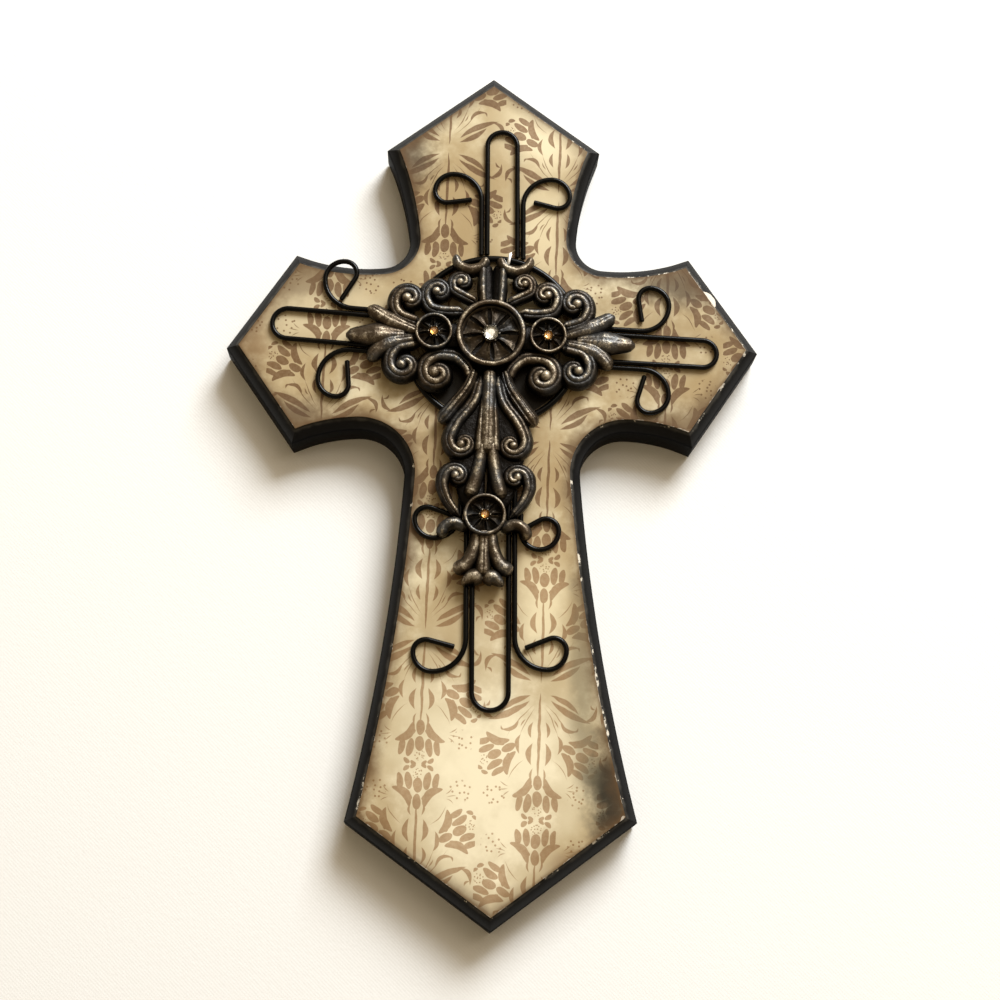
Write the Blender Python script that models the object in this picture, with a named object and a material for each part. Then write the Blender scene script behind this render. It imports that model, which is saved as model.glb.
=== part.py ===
"""Decorative wall cross: a chamfered board with a printed paper face, a black wire frame and a cast ornament.

The board's back lies in the plane y = 0 and the front faces -Y. X runs to the right, Z up, and the origin is on the
back face where the arms cross. Lengths are in metres.
"""

import math

import bmesh
import bpy
from mathutils import Vector

# Fit between neighbouring pieces
GAP = 0.0003

# Board outline, measured from the point where the arms cross
TOP_REACH = 0.1039
FOOT_REACH = 0.2011
SIDE_REACH = 0.0938
TOP_END_HALF = 0.0384
SIDE_END_HALF = 0.0349
FOOT_END_HALF = 0.0491
TOP_POINT = 0.0285
SIDE_POINT = 0.0238
FOOT_POINT = 0.0361
TOP_NECK_HALF = 0.0297
STEM_NECK_HALF = 0.0306
ARM_NECK_ABOVE = 0.0304
ARM_NECK_BELOW = 0.0295
UPPER_FILLET = 0.0100
LOWER_FILLET = 0.0160

# How far each side curve leans outwards where it leaves its fillet
TOP_LEAN = math.radians(5.4)
ARM_LEAN_ABOVE = math.radians(-5.5)
ARM_LEAN_BELOW = math.radians(1.5)
STEM_LEAN = math.radians(4.0)

# Board section
BOARD_THICKNESS = 0.016
BOARD_CHAMFER = 0.0035

# Printed paper face
PAPER_THICKNESS = 0.0004
PAPER_MARGIN = 0.0003

# Wire frame
WIRE_DIAMETER = 0.0018
RING_WIRE_DIAMETER = 0.0023
RING_RADIUS = 0.0304
RING_CENTRE_Z = 0.0019
CURL_SWEEP_RADIUS = 0.0104
CURL_LOOP_RADIUS = 0.0066
CURL_END_RADIUS = 0.0043
CURL_TAIL = 0.0083
CURL_TAIL_TURN = math.radians(15)
MID_CURL_SWEEP_RADIUS = 0.0091
MID_CURL_REACH = 0.0718

# Cast ornament. Its carving is drawn in shares of its height.
CASTING_HEIGHT = 0.1198
CASTING_UNITS_HIGH = 119.8
CASTING_CENTRE = (-0.0009, 0.0025)
CASTING_TURN = math.radians(-1.6)
CASTING_GRAIN = 0.00055
CASTING_FACES_KEPT = 0.046

# Stones and their seats
CLEAR_STONE_DIAMETER = 0.0054
AMBER_STONE_DIAMETER = 0.0032
STONE_CLEARANCE = 0.0006

# Staple over the ring
STAPLE_WIRE = 0.0007
STAPLE_WIDTH = 0.0011
STAPLE_ANGLE = math.radians(79.5)

# Levels in front of the board's back face
PAPER_BACK = BOARD_THICKNESS + GAP
PAPER_FRONT = PAPER_BACK + PAPER_THICKNESS
WIRE_BACK = PAPER_FRONT + GAP
RING_FRONT = WIRE_BACK + RING_WIRE_DIAMETER
CASTING_BACK = RING_FRONT + GAP

PAINTS = {
    "black_paint": ((0.012, 0.012, 0.013), 0.32, 0.0),
    "printed_paper": ((0.62, 0.50, 0.32), 0.35, 0.0),
    "black_wire": ((0.008, 0.008, 0.009), 0.30, 0.4),
    "antique_bronze": ((0.115, 0.090, 0.068), 0.42, 0.6),
    "clear_crystal": ((0.92, 0.93, 0.95), 0.03, 0.0),
    "amber_crystal": ((0.62, 0.26, 0.04), 0.05, 0.0),
    "staple_steel": ((0.72, 0.72, 0.72), 0.25, 1.0),
}


def clear_scene():
    """Remove whatever the open file holds."""
    for item in list(bpy.data.objects):
        bpy.data.objects.remove(item, do_unlink=True)


def material(name):
    """Give the named finish, made once."""
    if name in bpy.data.materials:
        return bpy.data.materials[name]
    colour, roughness, metallic = PAINTS[name]
    made = bpy.data.materials.new(name)
    made.use_nodes = True
    shader = made.node_tree.nodes["Principled BSDF"]
    shader.inputs["Base Color"].default_value = (*colour, 1.0)
    shader.inputs["Roughness"].default_value = roughness
    shader.inputs["Metallic"].default_value = metallic
    return made


def place(name, data, finish):
    """Link an object of this name, mesh or curve, with its finish."""
    made = bpy.data.objects.new(name, data)
    data.materials.append(material(finish))
    bpy.context.scene.collection.objects.link(made)
    return made


def mesh_object(name, bm, finish, sharp=math.radians(35)):
    """Turn a bmesh into a named, smooth-shaded object."""
    bmesh.ops.recalc_face_normals(bm, faces=bm.faces)
    mesh = bpy.data.meshes.new(name)
    bm.to_mesh(mesh)
    bm.free()
    mesh.shade_smooth()
    mesh.set_sharp_from_angle(angle=sharp)
    return place(name, mesh, finish)


def arc(centre, radius, start, end, steps):
    """Points along an arc, both ends included."""
    turn = [start + (end - start) * k / steps for k in range(steps + 1)]
    return [(centre[0] + radius * math.cos(a), centre[1] + radius * math.sin(a)) for a in turn]


def flare(centre, radius, spoke, side, corner, steps):
    """Points of the hollow arc that leaves a fillet smoothly and reaches a corner of the outline.

    The spoke is the angle at which the arc leaves the fillet, and the side is 1 where the outline is followed
    anticlockwise round the fillet's centre, else -1. The first point is on the fillet and the corner is left out.
    """
    start = (centre[0] + radius * math.cos(spoke), centre[1] + radius * math.sin(spoke))
    heading = spoke + side * math.pi / 2
    run, rise = corner[0] - start[0], corner[1] - start[1]
    lean = math.remainder(math.atan2(rise, run) - heading, math.tau)
    points = []
    for k in range(steps):
        share = lean * k / steps
        far = math.hypot(run, rise) * math.sin(share) / math.sin(lean)
        points.append((start[0] + far * math.cos(heading + share), start[1] + far * math.sin(heading + share)))
    return points


def half_outline():
    """The outline's right half from the top point down to the foot point, in X and Z."""
    top_corner = (TOP_END_HALF, TOP_REACH - TOP_POINT)
    upper_corner = (SIDE_REACH - SIDE_POINT, SIDE_END_HALF)
    lower_corner = (SIDE_REACH - SIDE_POINT, -SIDE_END_HALF)
    foot_corner = (FOOT_END_HALF, FOOT_POINT - FOOT_REACH)
    upper = (TOP_NECK_HALF + UPPER_FILLET, ARM_NECK_ABOVE + UPPER_FILLET)
    lower = (STEM_NECK_HALF + LOWER_FILLET, -ARM_NECK_BELOW - LOWER_FILLET)
    top, above = math.pi - TOP_LEAN, math.pi * 1.5 + ARM_LEAN_ABOVE
    below, stem = math.pi * 0.5 - ARM_LEAN_BELOW, math.pi + STEM_LEAN
    points = [(0.0, TOP_REACH), top_corner]
    points += flare(upper, UPPER_FILLET, top, -1, top_corner, 5)[:0:-1]
    points += arc(upper, UPPER_FILLET, top, above, 6)
    points += flare(upper, UPPER_FILLET, above, 1, upper_corner, 4)[1:]
    points += [upper_corner, (SIDE_REACH, 0.0), lower_corner]
    points += flare(lower, LOWER_FILLET, below, -1, lower_corner, 4)[:0:-1]
    points += arc(lower, LOWER_FILLET, below, stem, 7)
    points += flare(lower, LOWER_FILLET, stem, 1, foot_corner, 8)[1:]
    points += [foot_corner, (0.0, -FOOT_REACH)]
    return points


def outline_face(bm, level):
    """Add the whole outline as one face at a level in front of the back plane.

    Its normal is worked out here, because an inset of it moves nothing without one.
    """
    right = half_outline()
    left = [(-x, z) for x, z in right[-2:0:-1]]
    corners = [bm.verts.new((x, -level, z)) for x, z in right + left]
    face = bm.faces.new(corners)
    face.normal_update()
    return face


def push_forward(bm, face, distance):
    """Extrude a face towards the front and give the new front face."""
    grown = bmesh.ops.extrude_face_region(bm, geom=[face])
    corners = [item for item in grown["geom"] if isinstance(item, bmesh.types.BMVert)]
    bmesh.ops.translate(bm, verts=corners, vec=(0, -distance, 0))
    return next(item for item in grown["geom"] if isinstance(item, bmesh.types.BMFace))


def board():
    """The board: a flat back, square walls and a chamfer round the front."""
    bm = bmesh.new()
    front = push_forward(bm, outline_face(bm, 0.0), BOARD_THICKNESS - BOARD_CHAMFER)
    bmesh.ops.inset_region(bm, faces=[front], thickness=BOARD_CHAMFER, use_even_offset=True)
    bmesh.ops.translate(bm, verts=front.verts, vec=(0, -BOARD_CHAMFER, 0))
    return mesh_object("board", bm, "black_paint")


def paper_face():
    """The printed sheet, which stops just inside the chamfer's inner edge."""
    bm = bmesh.new()
    sheet = outline_face(bm, PAPER_BACK)
    bmesh.ops.inset_region(bm, faces=[sheet], thickness=BOARD_CHAMFER + PAPER_MARGIN, use_even_offset=True,
                           use_boundary=True)
    bmesh.ops.delete(bm, geom=[face for face in bm.faces if face is not sheet], context="FACES")
    push_forward(bm, sheet, PAPER_THICKNESS)
    return mesh_object("printed_paper", bm, "printed_paper")


def walk(start, heading, moves):
    """Points of a path in X and Z made of straight runs and arcs.

    Each move is (length, 0) for a straight run or (radius, turn) for an arc, with left turns positive.
    """
    x, z = start
    points = [(x, z)]
    for size, turn in moves:
        if turn == 0:
            x, z = x + size * math.cos(heading), z + size * math.sin(heading)
            points.append((x, z))
            continue
        side = heading + math.copysign(math.pi / 2, turn)
        centre = (x + size * math.cos(side), z + size * math.sin(side))
        steps = max(3, round(abs(turn) / math.radians(22)))
        bend = arc(centre, size, side + math.pi, side + math.pi + turn, steps)
        points += bend[1:]
        x, z = bend[-1]
        heading += turn
    return points


def wire(name, points, diameter, closed=False):
    """A round wire of six sides that lies on the paper along points in X and Z."""
    curve = bpy.data.curves.new(name, "CURVE")
    curve.dimensions = "3D"
    curve.bevel_depth = diameter / 2
    curve.bevel_resolution = 1
    curve.use_fill_caps = not closed
    spline = curve.splines.new("POLY")
    spline.points.add(len(points) - 1)
    level = WIRE_BACK + diameter / 2
    for point, (x, z) in zip(spline.points, points):
        point.co = (x, -level, z, 1.0)
    spline.use_cyclic_u = closed
    return place(name, curve, "black_wire")


def ring():
    """The ring that carries the wire frame, under the ornament."""
    points = arc((0.0, RING_CENTRE_Z), RING_RADIUS, 0.0, math.tau, 36)[:-1]
    return wire("wire_ring", points, RING_WIRE_DIAMETER, closed=True)


# One row for each arm of the frame: name, heading, how far the board reaches from the ring's centre, how much of
# that the hairpin leaves free, the hairpin's width between wire centres, and how far it sits to the left of the
# heading. The frame is bent by hand, so the curl on the left and the one on the right then have a group each: how
# far the curl stops short of the hairpin, and how much its sweep, its tail and its turn differ from the sizes above
FRAME_ARMS = (
    ("top", math.radians(90), TOP_REACH - RING_CENTRE_Z, 0.0223, 0.0107, -0.0031,
     (0.0163, -0.0004, 0.0000, math.radians(-7)), (0.0180, -0.0003, -0.0005, 0.0)),
    ("left", math.radians(175.5), SIDE_REACH, 0.0152, 0.0110, 0.0000,
     (0.0179, 0.0005, 0.0002, math.radians(-6)), (0.0168, 0.0001, 0.0008, math.radians(12))),
    ("right", math.radians(-3), SIDE_REACH, 0.0142, 0.0099, 0.0000,
     (0.0174, -0.0008, -0.0005, math.radians(-4)), (0.0164, -0.0013, 0.0000, 0.0)),
    ("foot", math.radians(-90), FOOT_REACH + RING_CENTRE_Z, 0.0720, 0.0124, -0.0006,
     (0.0139, 0.0006, 0.0005, math.radians(7)), (0.0131, 0.0008, 0.0006, 0.0)),
)
# The same for the two curls half way down: how much further than MID_CURL_REACH, then sweep, tail and turn
MID_CURLS = ((0.0038, -0.0027, -0.0023, math.radians(14)), (0.0000, 0.0000, 0.0000, math.radians(5)))


def arm_point(heading, along, left):
    """A point at a distance along an arm of the frame and to the left of it."""
    cos, sin = math.cos(heading), math.sin(heading)
    return (along * cos - left * sin, RING_CENTRE_Z + along * sin + left * cos)


def ring_edge(left):
    """How far along an arm a wire that runs this far to the side of its middle meets the ring."""
    near = max(abs(left) - WIRE_DIAMETER / 2, 0.0)
    return math.sqrt((RING_RADIUS + RING_WIRE_DIAMETER / 2 + GAP) ** 2 - near**2)


def hairpin(name, heading, reach, width, shift):
    """A hairpin loop that leaves the ring, turns round and comes back to it."""
    radius = width / 2
    bend = reach - WIRE_DIAMETER / 2 - radius
    start, finish = ring_edge(shift - radius), ring_edge(shift + radius)
    moves = [(bend - start, 0), (radius, math.pi), (bend - finish, 0)]
    return wire(name, walk(arm_point(heading, start, shift - radius), heading, moves), WIRE_DIAMETER)


def curl(name, heading, start, reach, left, sweep_radius, tail, turn):
    """A wire beside the hairpin that sweeps away from it and curls back in an open loop that tightens."""
    side = math.copysign(1, left)
    sweep = reach - WIRE_DIAMETER / 2 - sweep_radius
    moves = [
        (sweep - start, 0),
        (sweep_radius, side * math.pi / 2),
        (CURL_LOOP_RADIUS, side * math.pi / 2),
        (CURL_END_RADIUS, side * (math.pi / 2 + turn)),
        (tail, 0),
    ]
    return wire(name, walk(arm_point(heading, start, left), heading, moves), WIRE_DIAMETER)


def wire_frame():
    """The hairpins, the curls beside them and the two curls half way down the foot arm."""
    pitch = WIRE_DIAMETER + GAP
    for name, heading, board_reach, border, width, shift, *curls in FRAME_ARMS:
        reach = board_reach - border
        hairpin("hairpin_" + name, heading, reach, width, shift)
        for word, side, (drop, wider, longer, further) in zip("ab", (1, -1), curls):
            left = shift + side * (width / 2 + pitch)
            curl(f"curl_{name}_{word}", heading, ring_edge(left), reach - drop, left, CURL_SWEEP_RADIUS + wider,
                 CURL_TAIL + longer, CURL_TAIL_TURN + further)
    for word, side, (lower, wider, longer, further) in zip("ab", (1, -1), MID_CURLS):
        beside = shift + side * (width / 2 + 2 * pitch)
        mid_reach, radius = MID_CURL_REACH + lower, MID_CURL_SWEEP_RADIUS + wider
        curl("curl_mid_" + word, heading, mid_reach - radius - 4 * WIRE_DIAMETER, mid_reach, beside, radius,
             CURL_TAIL + longer, CURL_TAIL_TURN + further)


def staple():
    """The bright staple that holds the ring, its crown across the wire and its legs beside it."""
    inner = RING_WIRE_DIAMETER / 2 + GAP
    outer = inner + STAPLE_WIRE
    bottom = PAPER_FRONT + GAP
    under = RING_FRONT + GAP
    top = under + STAPLE_WIRE
    section = [(-outer, bottom), (-inner, bottom), (-inner, under), (inner, under), (inner, bottom),
               (outer, bottom), (outer, top), (-outer, top)]
    middle = Vector((RING_RADIUS * math.cos(STAPLE_ANGLE), 0, RING_CENTRE_Z + RING_RADIUS * math.sin(STAPLE_ANGLE)))
    radial = Vector((math.cos(STAPLE_ANGLE), 0, math.sin(STAPLE_ANGLE)))
    across = Vector((-math.sin(STAPLE_ANGLE), 0, math.cos(STAPLE_ANGLE))) * STAPLE_WIDTH
    bm = bmesh.new()
    corners = [bm.verts.new(middle + radial * r + Vector((0, -level, 0)) - across / 2) for r, level in section]
    side = bm.faces.new(corners)
    grown = bmesh.ops.extrude_face_region(bm, geom=[side])
    moved = [item for item in grown["geom"] if isinstance(item, bmesh.types.BMVert)]
    bmesh.ops.translate(bm, verts=moved, vec=across)
    return mesh_object("staple", bm, "staple_steel")


def spline_through(points, steps):
    """A smooth path through points, with this many steps between neighbours."""
    path = [Vector(point) for point in points]
    if len(path) == 2:
        return [path[0].lerp(path[1], k / steps) for k in range(steps + 1)]
    ends = [2 * path[0] - path[1]] + path + [2 * path[-1] - path[-2]]
    smooth = []
    for a, b, c, d in zip(ends, ends[1:], ends[2:], ends[3:]):
        for k in range(steps):
            t = k / steps
            smooth.append(0.5 * (2 * b + (c - a) * t + (2 * a - 5 * b + 4 * c - d) * t * t
                                 + (3 * b - a - 3 * c + d) * t**3))
    return smooth + [path[-1]]


def volute(centre, outer, inner, start, sweep):
    """Points of a spiral from its outer to its inner radius, angles in degrees."""
    steps = max(6, round(abs(sweep) / 30))
    points = []
    for k in range(steps + 1):
        share = k / steps
        radius = outer * (inner / outer) ** share
        angle = math.radians(start + sweep * share)
        points.append((centre[0] + radius * math.cos(angle), centre[1] + radius * math.sin(angle)))
    return points


# The ornament's strands on its right side, in shares of its height. Each has the points of its stem, the spiral
# it ends in (centre, outer and inner radius, start and sweep in degrees) or None, its widths and its heights.
STRANDS = (
    ([(5.5, 12.0), (8.6, 13.6)], ((10.5, 19.3), 4.3, 0.9, -50, 400), (2.8, 3.0, 2.4), (4.0, 4.0, 4.4)),
    ([(9.6, 8.6), (15.5, 8.2)], ((18.5, 15.2), 6.6, 1.0, -70, 430), (3.2, 3.6, 2.8), (4.0, 4.2, 4.8)),
    ([(24.5, 3.6), (30.0, 5.4)], ((28.6, 12.3), 6.8, 1.2, -55, 420), (3.2, 3.8, 3.0), (4.0, 4.2, 5.0)),
    ([(24.5, -3.0), (31.0, -4.4)], ((29.5, -11.8), 7.2, 1.3, 62, -430), (3.2, 3.9, 3.0), (4.0, 4.2, 5.0)),
    ([(6.4, -16.0), (7.6, -11.8), (11.4, -8.2)], ((18.0, -14.6), 7.6, 1.5, 112, -460), (3.4, 4.3, 3.6),
     (4.4, 4.4, 5.2)),
    ([(25.0, 0.6), (35.0, 4.3), (43.2, 9.2)], None, (2.4, 4.8, 3.4), (3.6, 4.4, 3.6)),
    ([(29.0, -0.5), (39.0, -0.9), (50.6, -1.1)], None, (2.6, 6.4, 3.0), (3.4, 5.0, 2.6)),
    ([(26.0, -1.6), (36.5, -4.4), (42.4, -10.0)], None, (2.4, 5.0, 3.4), (3.6, 4.4, 3.6)),
    ([(2.9, 10.5), (3.4, 18.5), (3.5, 25.6)], None, (2.6, 3.1, 3.0), (4.6, 4.6, 4.8)),
    ([(2.4, 28.8), (3.8, 25.4), (8.2, 23.9), (12.0, 25.8), (13.5, 29.6)], None, (3.2, 4.0, 2.4), (5.0, 5.2, 4.2)),
    ([(5.2, -12.5), (7.4, -19.0), (12.0, -25.6), (16.6, -31.6)], None, (3.4, 4.2, 5.0), (4.8, 5.0, 4.6)),
    ([(3.2, -15.0), (5.4, -24.0), (10.6, -31.0)], ((8.2, -39.3), 5.7, 1.0, 28, -420), (3.2, 3.8, 2.6),
     (4.8, 5.0, 5.0)),
    ([(8.6, -65.0), (12.8, -60.0), (14.9, -55.0)], ((9.9, -51.2), 5.2, 0.9, -14, 400), (2.0, 3.6, 2.6),
     (3.4, 4.4, 4.6)),
    ([(1.8, -22.0), (2.6, -32.0), (2.9, -43.0)], None, (1.6, 2.6, 3.4), (4.6, 5.2, 5.4)),
    ([(0.5, -12.0), (0.5, -28.0), (0.6, -43.5)], None, (3.2, 4.6, 5.4), (5.6, 6.1, 5.8)),
    ([(1.4, -38.0), (3.0, -49.0), (5.7, -58.6)], None, (3.6, 4.4, 4.8), (5.6, 5.2, 5.0)),
    ([(5.6, -69.0), (10.4, -67.2), (13.8, -69.0), (14.6, -72.2)], None, (3.4, 3.6, 3.8), (4.2, 5.0, 4.8)),
    ([(2.2, -69.6), (3.6, -77.0), (6.4, -82.0), (10.2, -82.6)], None, (3.4, 4.2, 5.0), (4.4, 4.8, 4.6)),
    ([(0.0, -86.4), (3.6, -85.8), (7.0, -88.4)], None, (6.4, 4.6, 1.8), (5.2, 5.0, 4.0)),
    ([(0.4, -69.0), (0.5, -78.0), (0.7, -85.6)], None, (4.4, 2.8, 4.4), (4.4, 4.8, 5.0)),
    ([(2.5, -13.0), (3.2, -24.0), (7.0, -36.0), (5.8, -50.0), (4.0, -62.0)], None, (8.0, 14.0, 8.0),
     (1.8, 2.2, 1.8)),
    ([(8.0, 0.0), (20.0, 0.0), (32.0, -0.6)], None, (9.0, 10.0, 6.0), (2.4, 2.4, 2.2)),
    ([(2.0, 9.0), (2.4, 18.0), (2.6, 27.0)], None, (6.0, 6.0, 5.0), (3.2, 3.2, 3.2)),
)

# Rosettes: name, centre and outer radius in shares of the ornament's height
ROSETTES = (
    ("centre", (0.0, 0.0), 12.2),
    ("left", (-19.9, 0.0), 6.5),
    ("right", (19.9, 0.0), 6.5),
    ("foot", (0.0, -64.7), 7.2),
)
ROSETTE_PETALS = 8
ROSETTE_FLOOR = 3.6
ROSETTE_RIM = 6.4
ROSETTE_SEAT = 4.8


def unit():
    """One share of the ornament's height, in metres."""
    return CASTING_HEIGHT / CASTING_UNITS_HIGH


def casting_point(x, z, level):
    """Where a point of the ornament's own drawing lies, its level counted from the ornament's back."""
    size = unit()
    cos, sin = math.cos(CASTING_TURN), math.sin(CASTING_TURN)
    return Vector((
        CASTING_CENTRE[0] + size * (x * cos - z * sin),
        -CASTING_BACK - size * level,
        CASTING_CENTRE[1] + size * (x * sin + z * cos),
    ))


def along(values, share):
    """Read start, middle and end values at a share of the way."""
    a, b, c = values
    return a + (b - a) * share * 2 if share < 0.5 else b + (c - b) * (share - 0.5) * 2


def strand(bm, path, widths, heights, mirror):
    """Sweep a half-round section with a flat back along a path of the ornament's drawing."""
    sides = 6
    rows = []
    count = len(path) - 1
    for k, here in enumerate(path):
        before, after = path[max(k - 1, 0)], path[min(k + 1, count)]
        run = (after - before).normalized()
        across = Vector((-run.y, run.x))
        end = 0.55 if k in (0, count) else 1.0
        half = along(widths, k / count) / 2 * end
        high = along(heights, k / count) * (0.5 + end / 2)
        row = []
        for j in range(sides + 1):
            angle = math.pi * j / sides
            spot = here + across * half * math.cos(angle)
            level = high * (0.25 + 0.75 * math.sin(angle)) if 0 < j < sides else high * 0.25
            row.append(bm.verts.new(casting_point(mirror * spot.x, spot.y, level)))
        for side in (-1, 1):
            spot = here + across * half * side
            row.append(bm.verts.new(casting_point(mirror * spot.x, spot.y, 0.0)))
        rows.append(row)
    for first, second in zip(rows, rows[1:]):
        for j in range(len(first)):
            bm.faces.new((first[j], first[j - 1], second[j - 1], second[j]))
    bm.faces.new(rows[0])
    bm.faces.new(reversed(rows[-1]))


def turned(bm, centre, profile, segments):
    """Turn a closed profile of (radius, level) pairs round a point of the ornament."""
    loops = []
    for radius, level in profile:
        loops.append([bm.verts.new(casting_point(centre[0] + radius * math.cos(math.tau * k / segments),
                                                 centre[1] + radius * math.sin(math.tau * k / segments), level))
                      for k in range(segments)])
    for first, second in zip(loops, loops[1:]):
        for k in range(segments):
            bm.faces.new((first[k], first[k - 1], second[k - 1], second[k]))
    bm.faces.new(loops[0])
    bm.faces.new(reversed(loops[-1]))


def petal(bm, centre, radius, angle):
    """One petal of a rosette, narrow at the middle and rising towards the rim."""
    path = [Vector((centre[0] + radius * share * math.cos(angle), centre[1] + radius * share * math.sin(angle)))
            for share in (0.26, 0.42, 0.6, 0.76)]
    strand(bm, path, (radius * 0.16, radius * 0.30, radius * 0.36), (4.6, 5.6, 5.2), 1)


def rosette(bm, centre, radius):
    """A round cup with a raised rim, eight petals and a seat for a stone."""
    rim = min(1.7, radius * 0.2)
    turned(bm, centre, [(radius * 0.9, 0.0), (radius, ROSETTE_FLOOR), (radius, ROSETTE_RIM - 0.8),
                        (radius - rim / 2, ROSETTE_RIM), (radius - rim, ROSETTE_RIM - 0.8),
                        (radius - rim * 1.1, ROSETTE_FLOOR)], 28)
    turned(bm, centre, [(radius * 0.26, ROSETTE_FLOOR / 2), (radius * 0.26, ROSETTE_SEAT)], 12)
    for k in range(ROSETTE_PETALS):
        petal(bm, centre, radius, math.tau * (k + 0.5) / ROSETTE_PETALS)


def casting():
    """The cast ornament: its strands and rosettes fused into one skin."""
    bm = bmesh.new()
    for stem, spiral, widths, heights in STRANDS:
        points = stem + (volute(*spiral) if spiral else [])
        path = spline_through(points, 2 if spiral else 5)
        for mirror in (1, -1):
            strand(bm, path, widths, heights, mirror)
    for _, centre, radius in ROSETTES:
        rosette(bm, centre, radius)
    made = mesh_object("cast_ornament", bm, "antique_bronze", sharp=math.radians(50))
    fuse = made.modifiers.new("fuse", "REMESH")
    fuse.mode = "VOXEL"
    fuse.voxel_size = CASTING_GRAIN
    fuse.use_smooth_shade = True
    thin = made.modifiers.new("thin", "DECIMATE")
    thin.ratio = CASTING_FACES_KEPT
    return made


def stone(name, centre, diameter, finish):
    """A faceted stone over its seat: a girdle, a crown and a flat table."""
    bm = bmesh.new()
    size = unit()
    radius = diameter / 2 / size
    foot = ROSETTE_SEAT + STONE_CLEARANCE / size
    turned(bm, centre, [(radius * 0.8, foot), (radius, foot + radius * 0.25), (radius * 0.92, foot + radius * 0.45),
                        (radius * 0.5, foot + radius * 0.8)], 8)
    return mesh_object(name, bm, finish, sharp=math.radians(10))


def stones():
    """The clear stone in the middle and the three amber ones."""
    for name, centre, _ in ROSETTES:
        if name == "centre":
            stone("stone_clear", centre, CLEAR_STONE_DIAMETER, "clear_crystal")
        else:
            stone("stone_amber_" + name, centre, AMBER_STONE_DIAMETER, "amber_crystal")


def main():
    """Build every piece."""
    clear_scene()
    board()
    paper_face()
    ring()
    wire_frame()
    staple()
    casting()
    stones()


main()
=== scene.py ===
"""Looks of a decorative wall cross: a black chamfered board with an aged floral print, a bent wire frame
and a cast ornament that holds four stones.

X runs to the right, Z up and the front faces -Y, in metres. The board's back lies in the plane y = 0.
"""

import logging
import math
from collections.abc import Mapping, Sequence
from dataclasses import dataclass
from enum import Enum
from itertools import pairwise

import bmesh
import bpy
from mathutils import Matrix, Vector
from mathutils.geometry import intersect_point_line


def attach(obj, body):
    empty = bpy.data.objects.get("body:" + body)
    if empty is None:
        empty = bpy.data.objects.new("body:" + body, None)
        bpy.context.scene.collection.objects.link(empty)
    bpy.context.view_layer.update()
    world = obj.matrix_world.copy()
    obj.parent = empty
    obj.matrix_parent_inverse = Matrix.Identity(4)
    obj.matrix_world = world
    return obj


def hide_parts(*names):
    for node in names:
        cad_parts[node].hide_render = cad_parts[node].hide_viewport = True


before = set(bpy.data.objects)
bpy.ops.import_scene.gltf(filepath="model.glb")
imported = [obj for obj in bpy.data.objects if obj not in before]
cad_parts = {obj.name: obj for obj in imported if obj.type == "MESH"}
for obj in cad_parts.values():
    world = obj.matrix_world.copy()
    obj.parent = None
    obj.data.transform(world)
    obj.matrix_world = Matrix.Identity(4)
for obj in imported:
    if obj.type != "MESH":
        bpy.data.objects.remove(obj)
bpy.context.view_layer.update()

LOG = logging.getLogger("wall_cross")
MM = 0.001

Point = tuple[float, float]
Colour = tuple[float, float, float]
Socket = bpy.types.NodeSocket
Material = bpy.types.Material
Mesh = bmesh.types.BMesh
Face = bmesh.types.BMFace
Edge = bmesh.types.BMEdge
Corner = bmesh.types.BMVert


# Shading

class Channel:
    """A number that varies over a surface. Python's operators on it add Math nodes to its material."""

    def __init__(self, bench: "Bench", socket: Socket) -> None:
        """Wrap a socket of the bench's material."""
        self.bench = bench
        self.socket = socket

    def math(self, operation: str, *others: "Channel | float", clamp: bool = False) -> "Channel":
        """Put this channel first into a Math node.

        Args:
            operation: The node's operation.
            others: What goes into its other sockets.
            clamp: Whether the result is kept between 0 and 1.

        Returns:
            The node's result.
        """
        return self.bench.math(operation, self, *others, clamp=clamp)

    def __add__(self, other: "Channel | float") -> "Channel":
        """Add."""
        return self.math("ADD", other)

    def __radd__(self, other: float) -> "Channel":
        """Add to a number."""
        return self.math("ADD", other)

    def __sub__(self, other: "Channel | float") -> "Channel":
        """Subtract."""
        return self.math("SUBTRACT", other)

    def __rsub__(self, other: float) -> "Channel":
        """Subtract from a number."""
        return self.bench.math("SUBTRACT", other, self)

    def __mul__(self, other: "Channel | float") -> "Channel":
        """Multiply."""
        return self.math("MULTIPLY", other)

    def __rmul__(self, other: float) -> "Channel":
        """Multiply a number."""
        return self.math("MULTIPLY", other)

    def __truediv__(self, other: "Channel | float") -> "Channel":
        """Divide."""
        return self.math("DIVIDE", other)

    def __rtruediv__(self, other: float) -> "Channel":
        """Divide a number."""
        return self.bench.math("DIVIDE", other, self)

    def __pow__(self, other: "Channel | float") -> "Channel":
        """Raise to a power."""
        return self.math("POWER", other)

    def __abs__(self) -> "Channel":
        """Drop the sign."""
        return self.math("ABSOLUTE")

    def least(self, other: "Channel | float") -> "Channel":
        """Keep the lower of the two."""
        return self.math("MINIMUM", other)

    def most(self, other: "Channel | float") -> "Channel":
        """Keep the higher of the two."""
        return self.math("MAXIMUM", other)

    def rise(self, low: float, high: float) -> "Channel":
        """Grow smoothly from 0 at the low value to 1 at the high one."""
        node = self.bench.node("ShaderNodeMapRange", {"interpolation_type": "SMOOTHSTEP", "clamp": True},
                               {"Value": self, "From Min": low, "From Max": high})
        return Channel(self.bench, node.outputs["Result"])

    def fall(self, low: float, high: float) -> "Channel":
        """Drop smoothly from 1 at the low value to 0 at the high one."""
        return 1.0 - self.rise(low, high)


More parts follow.
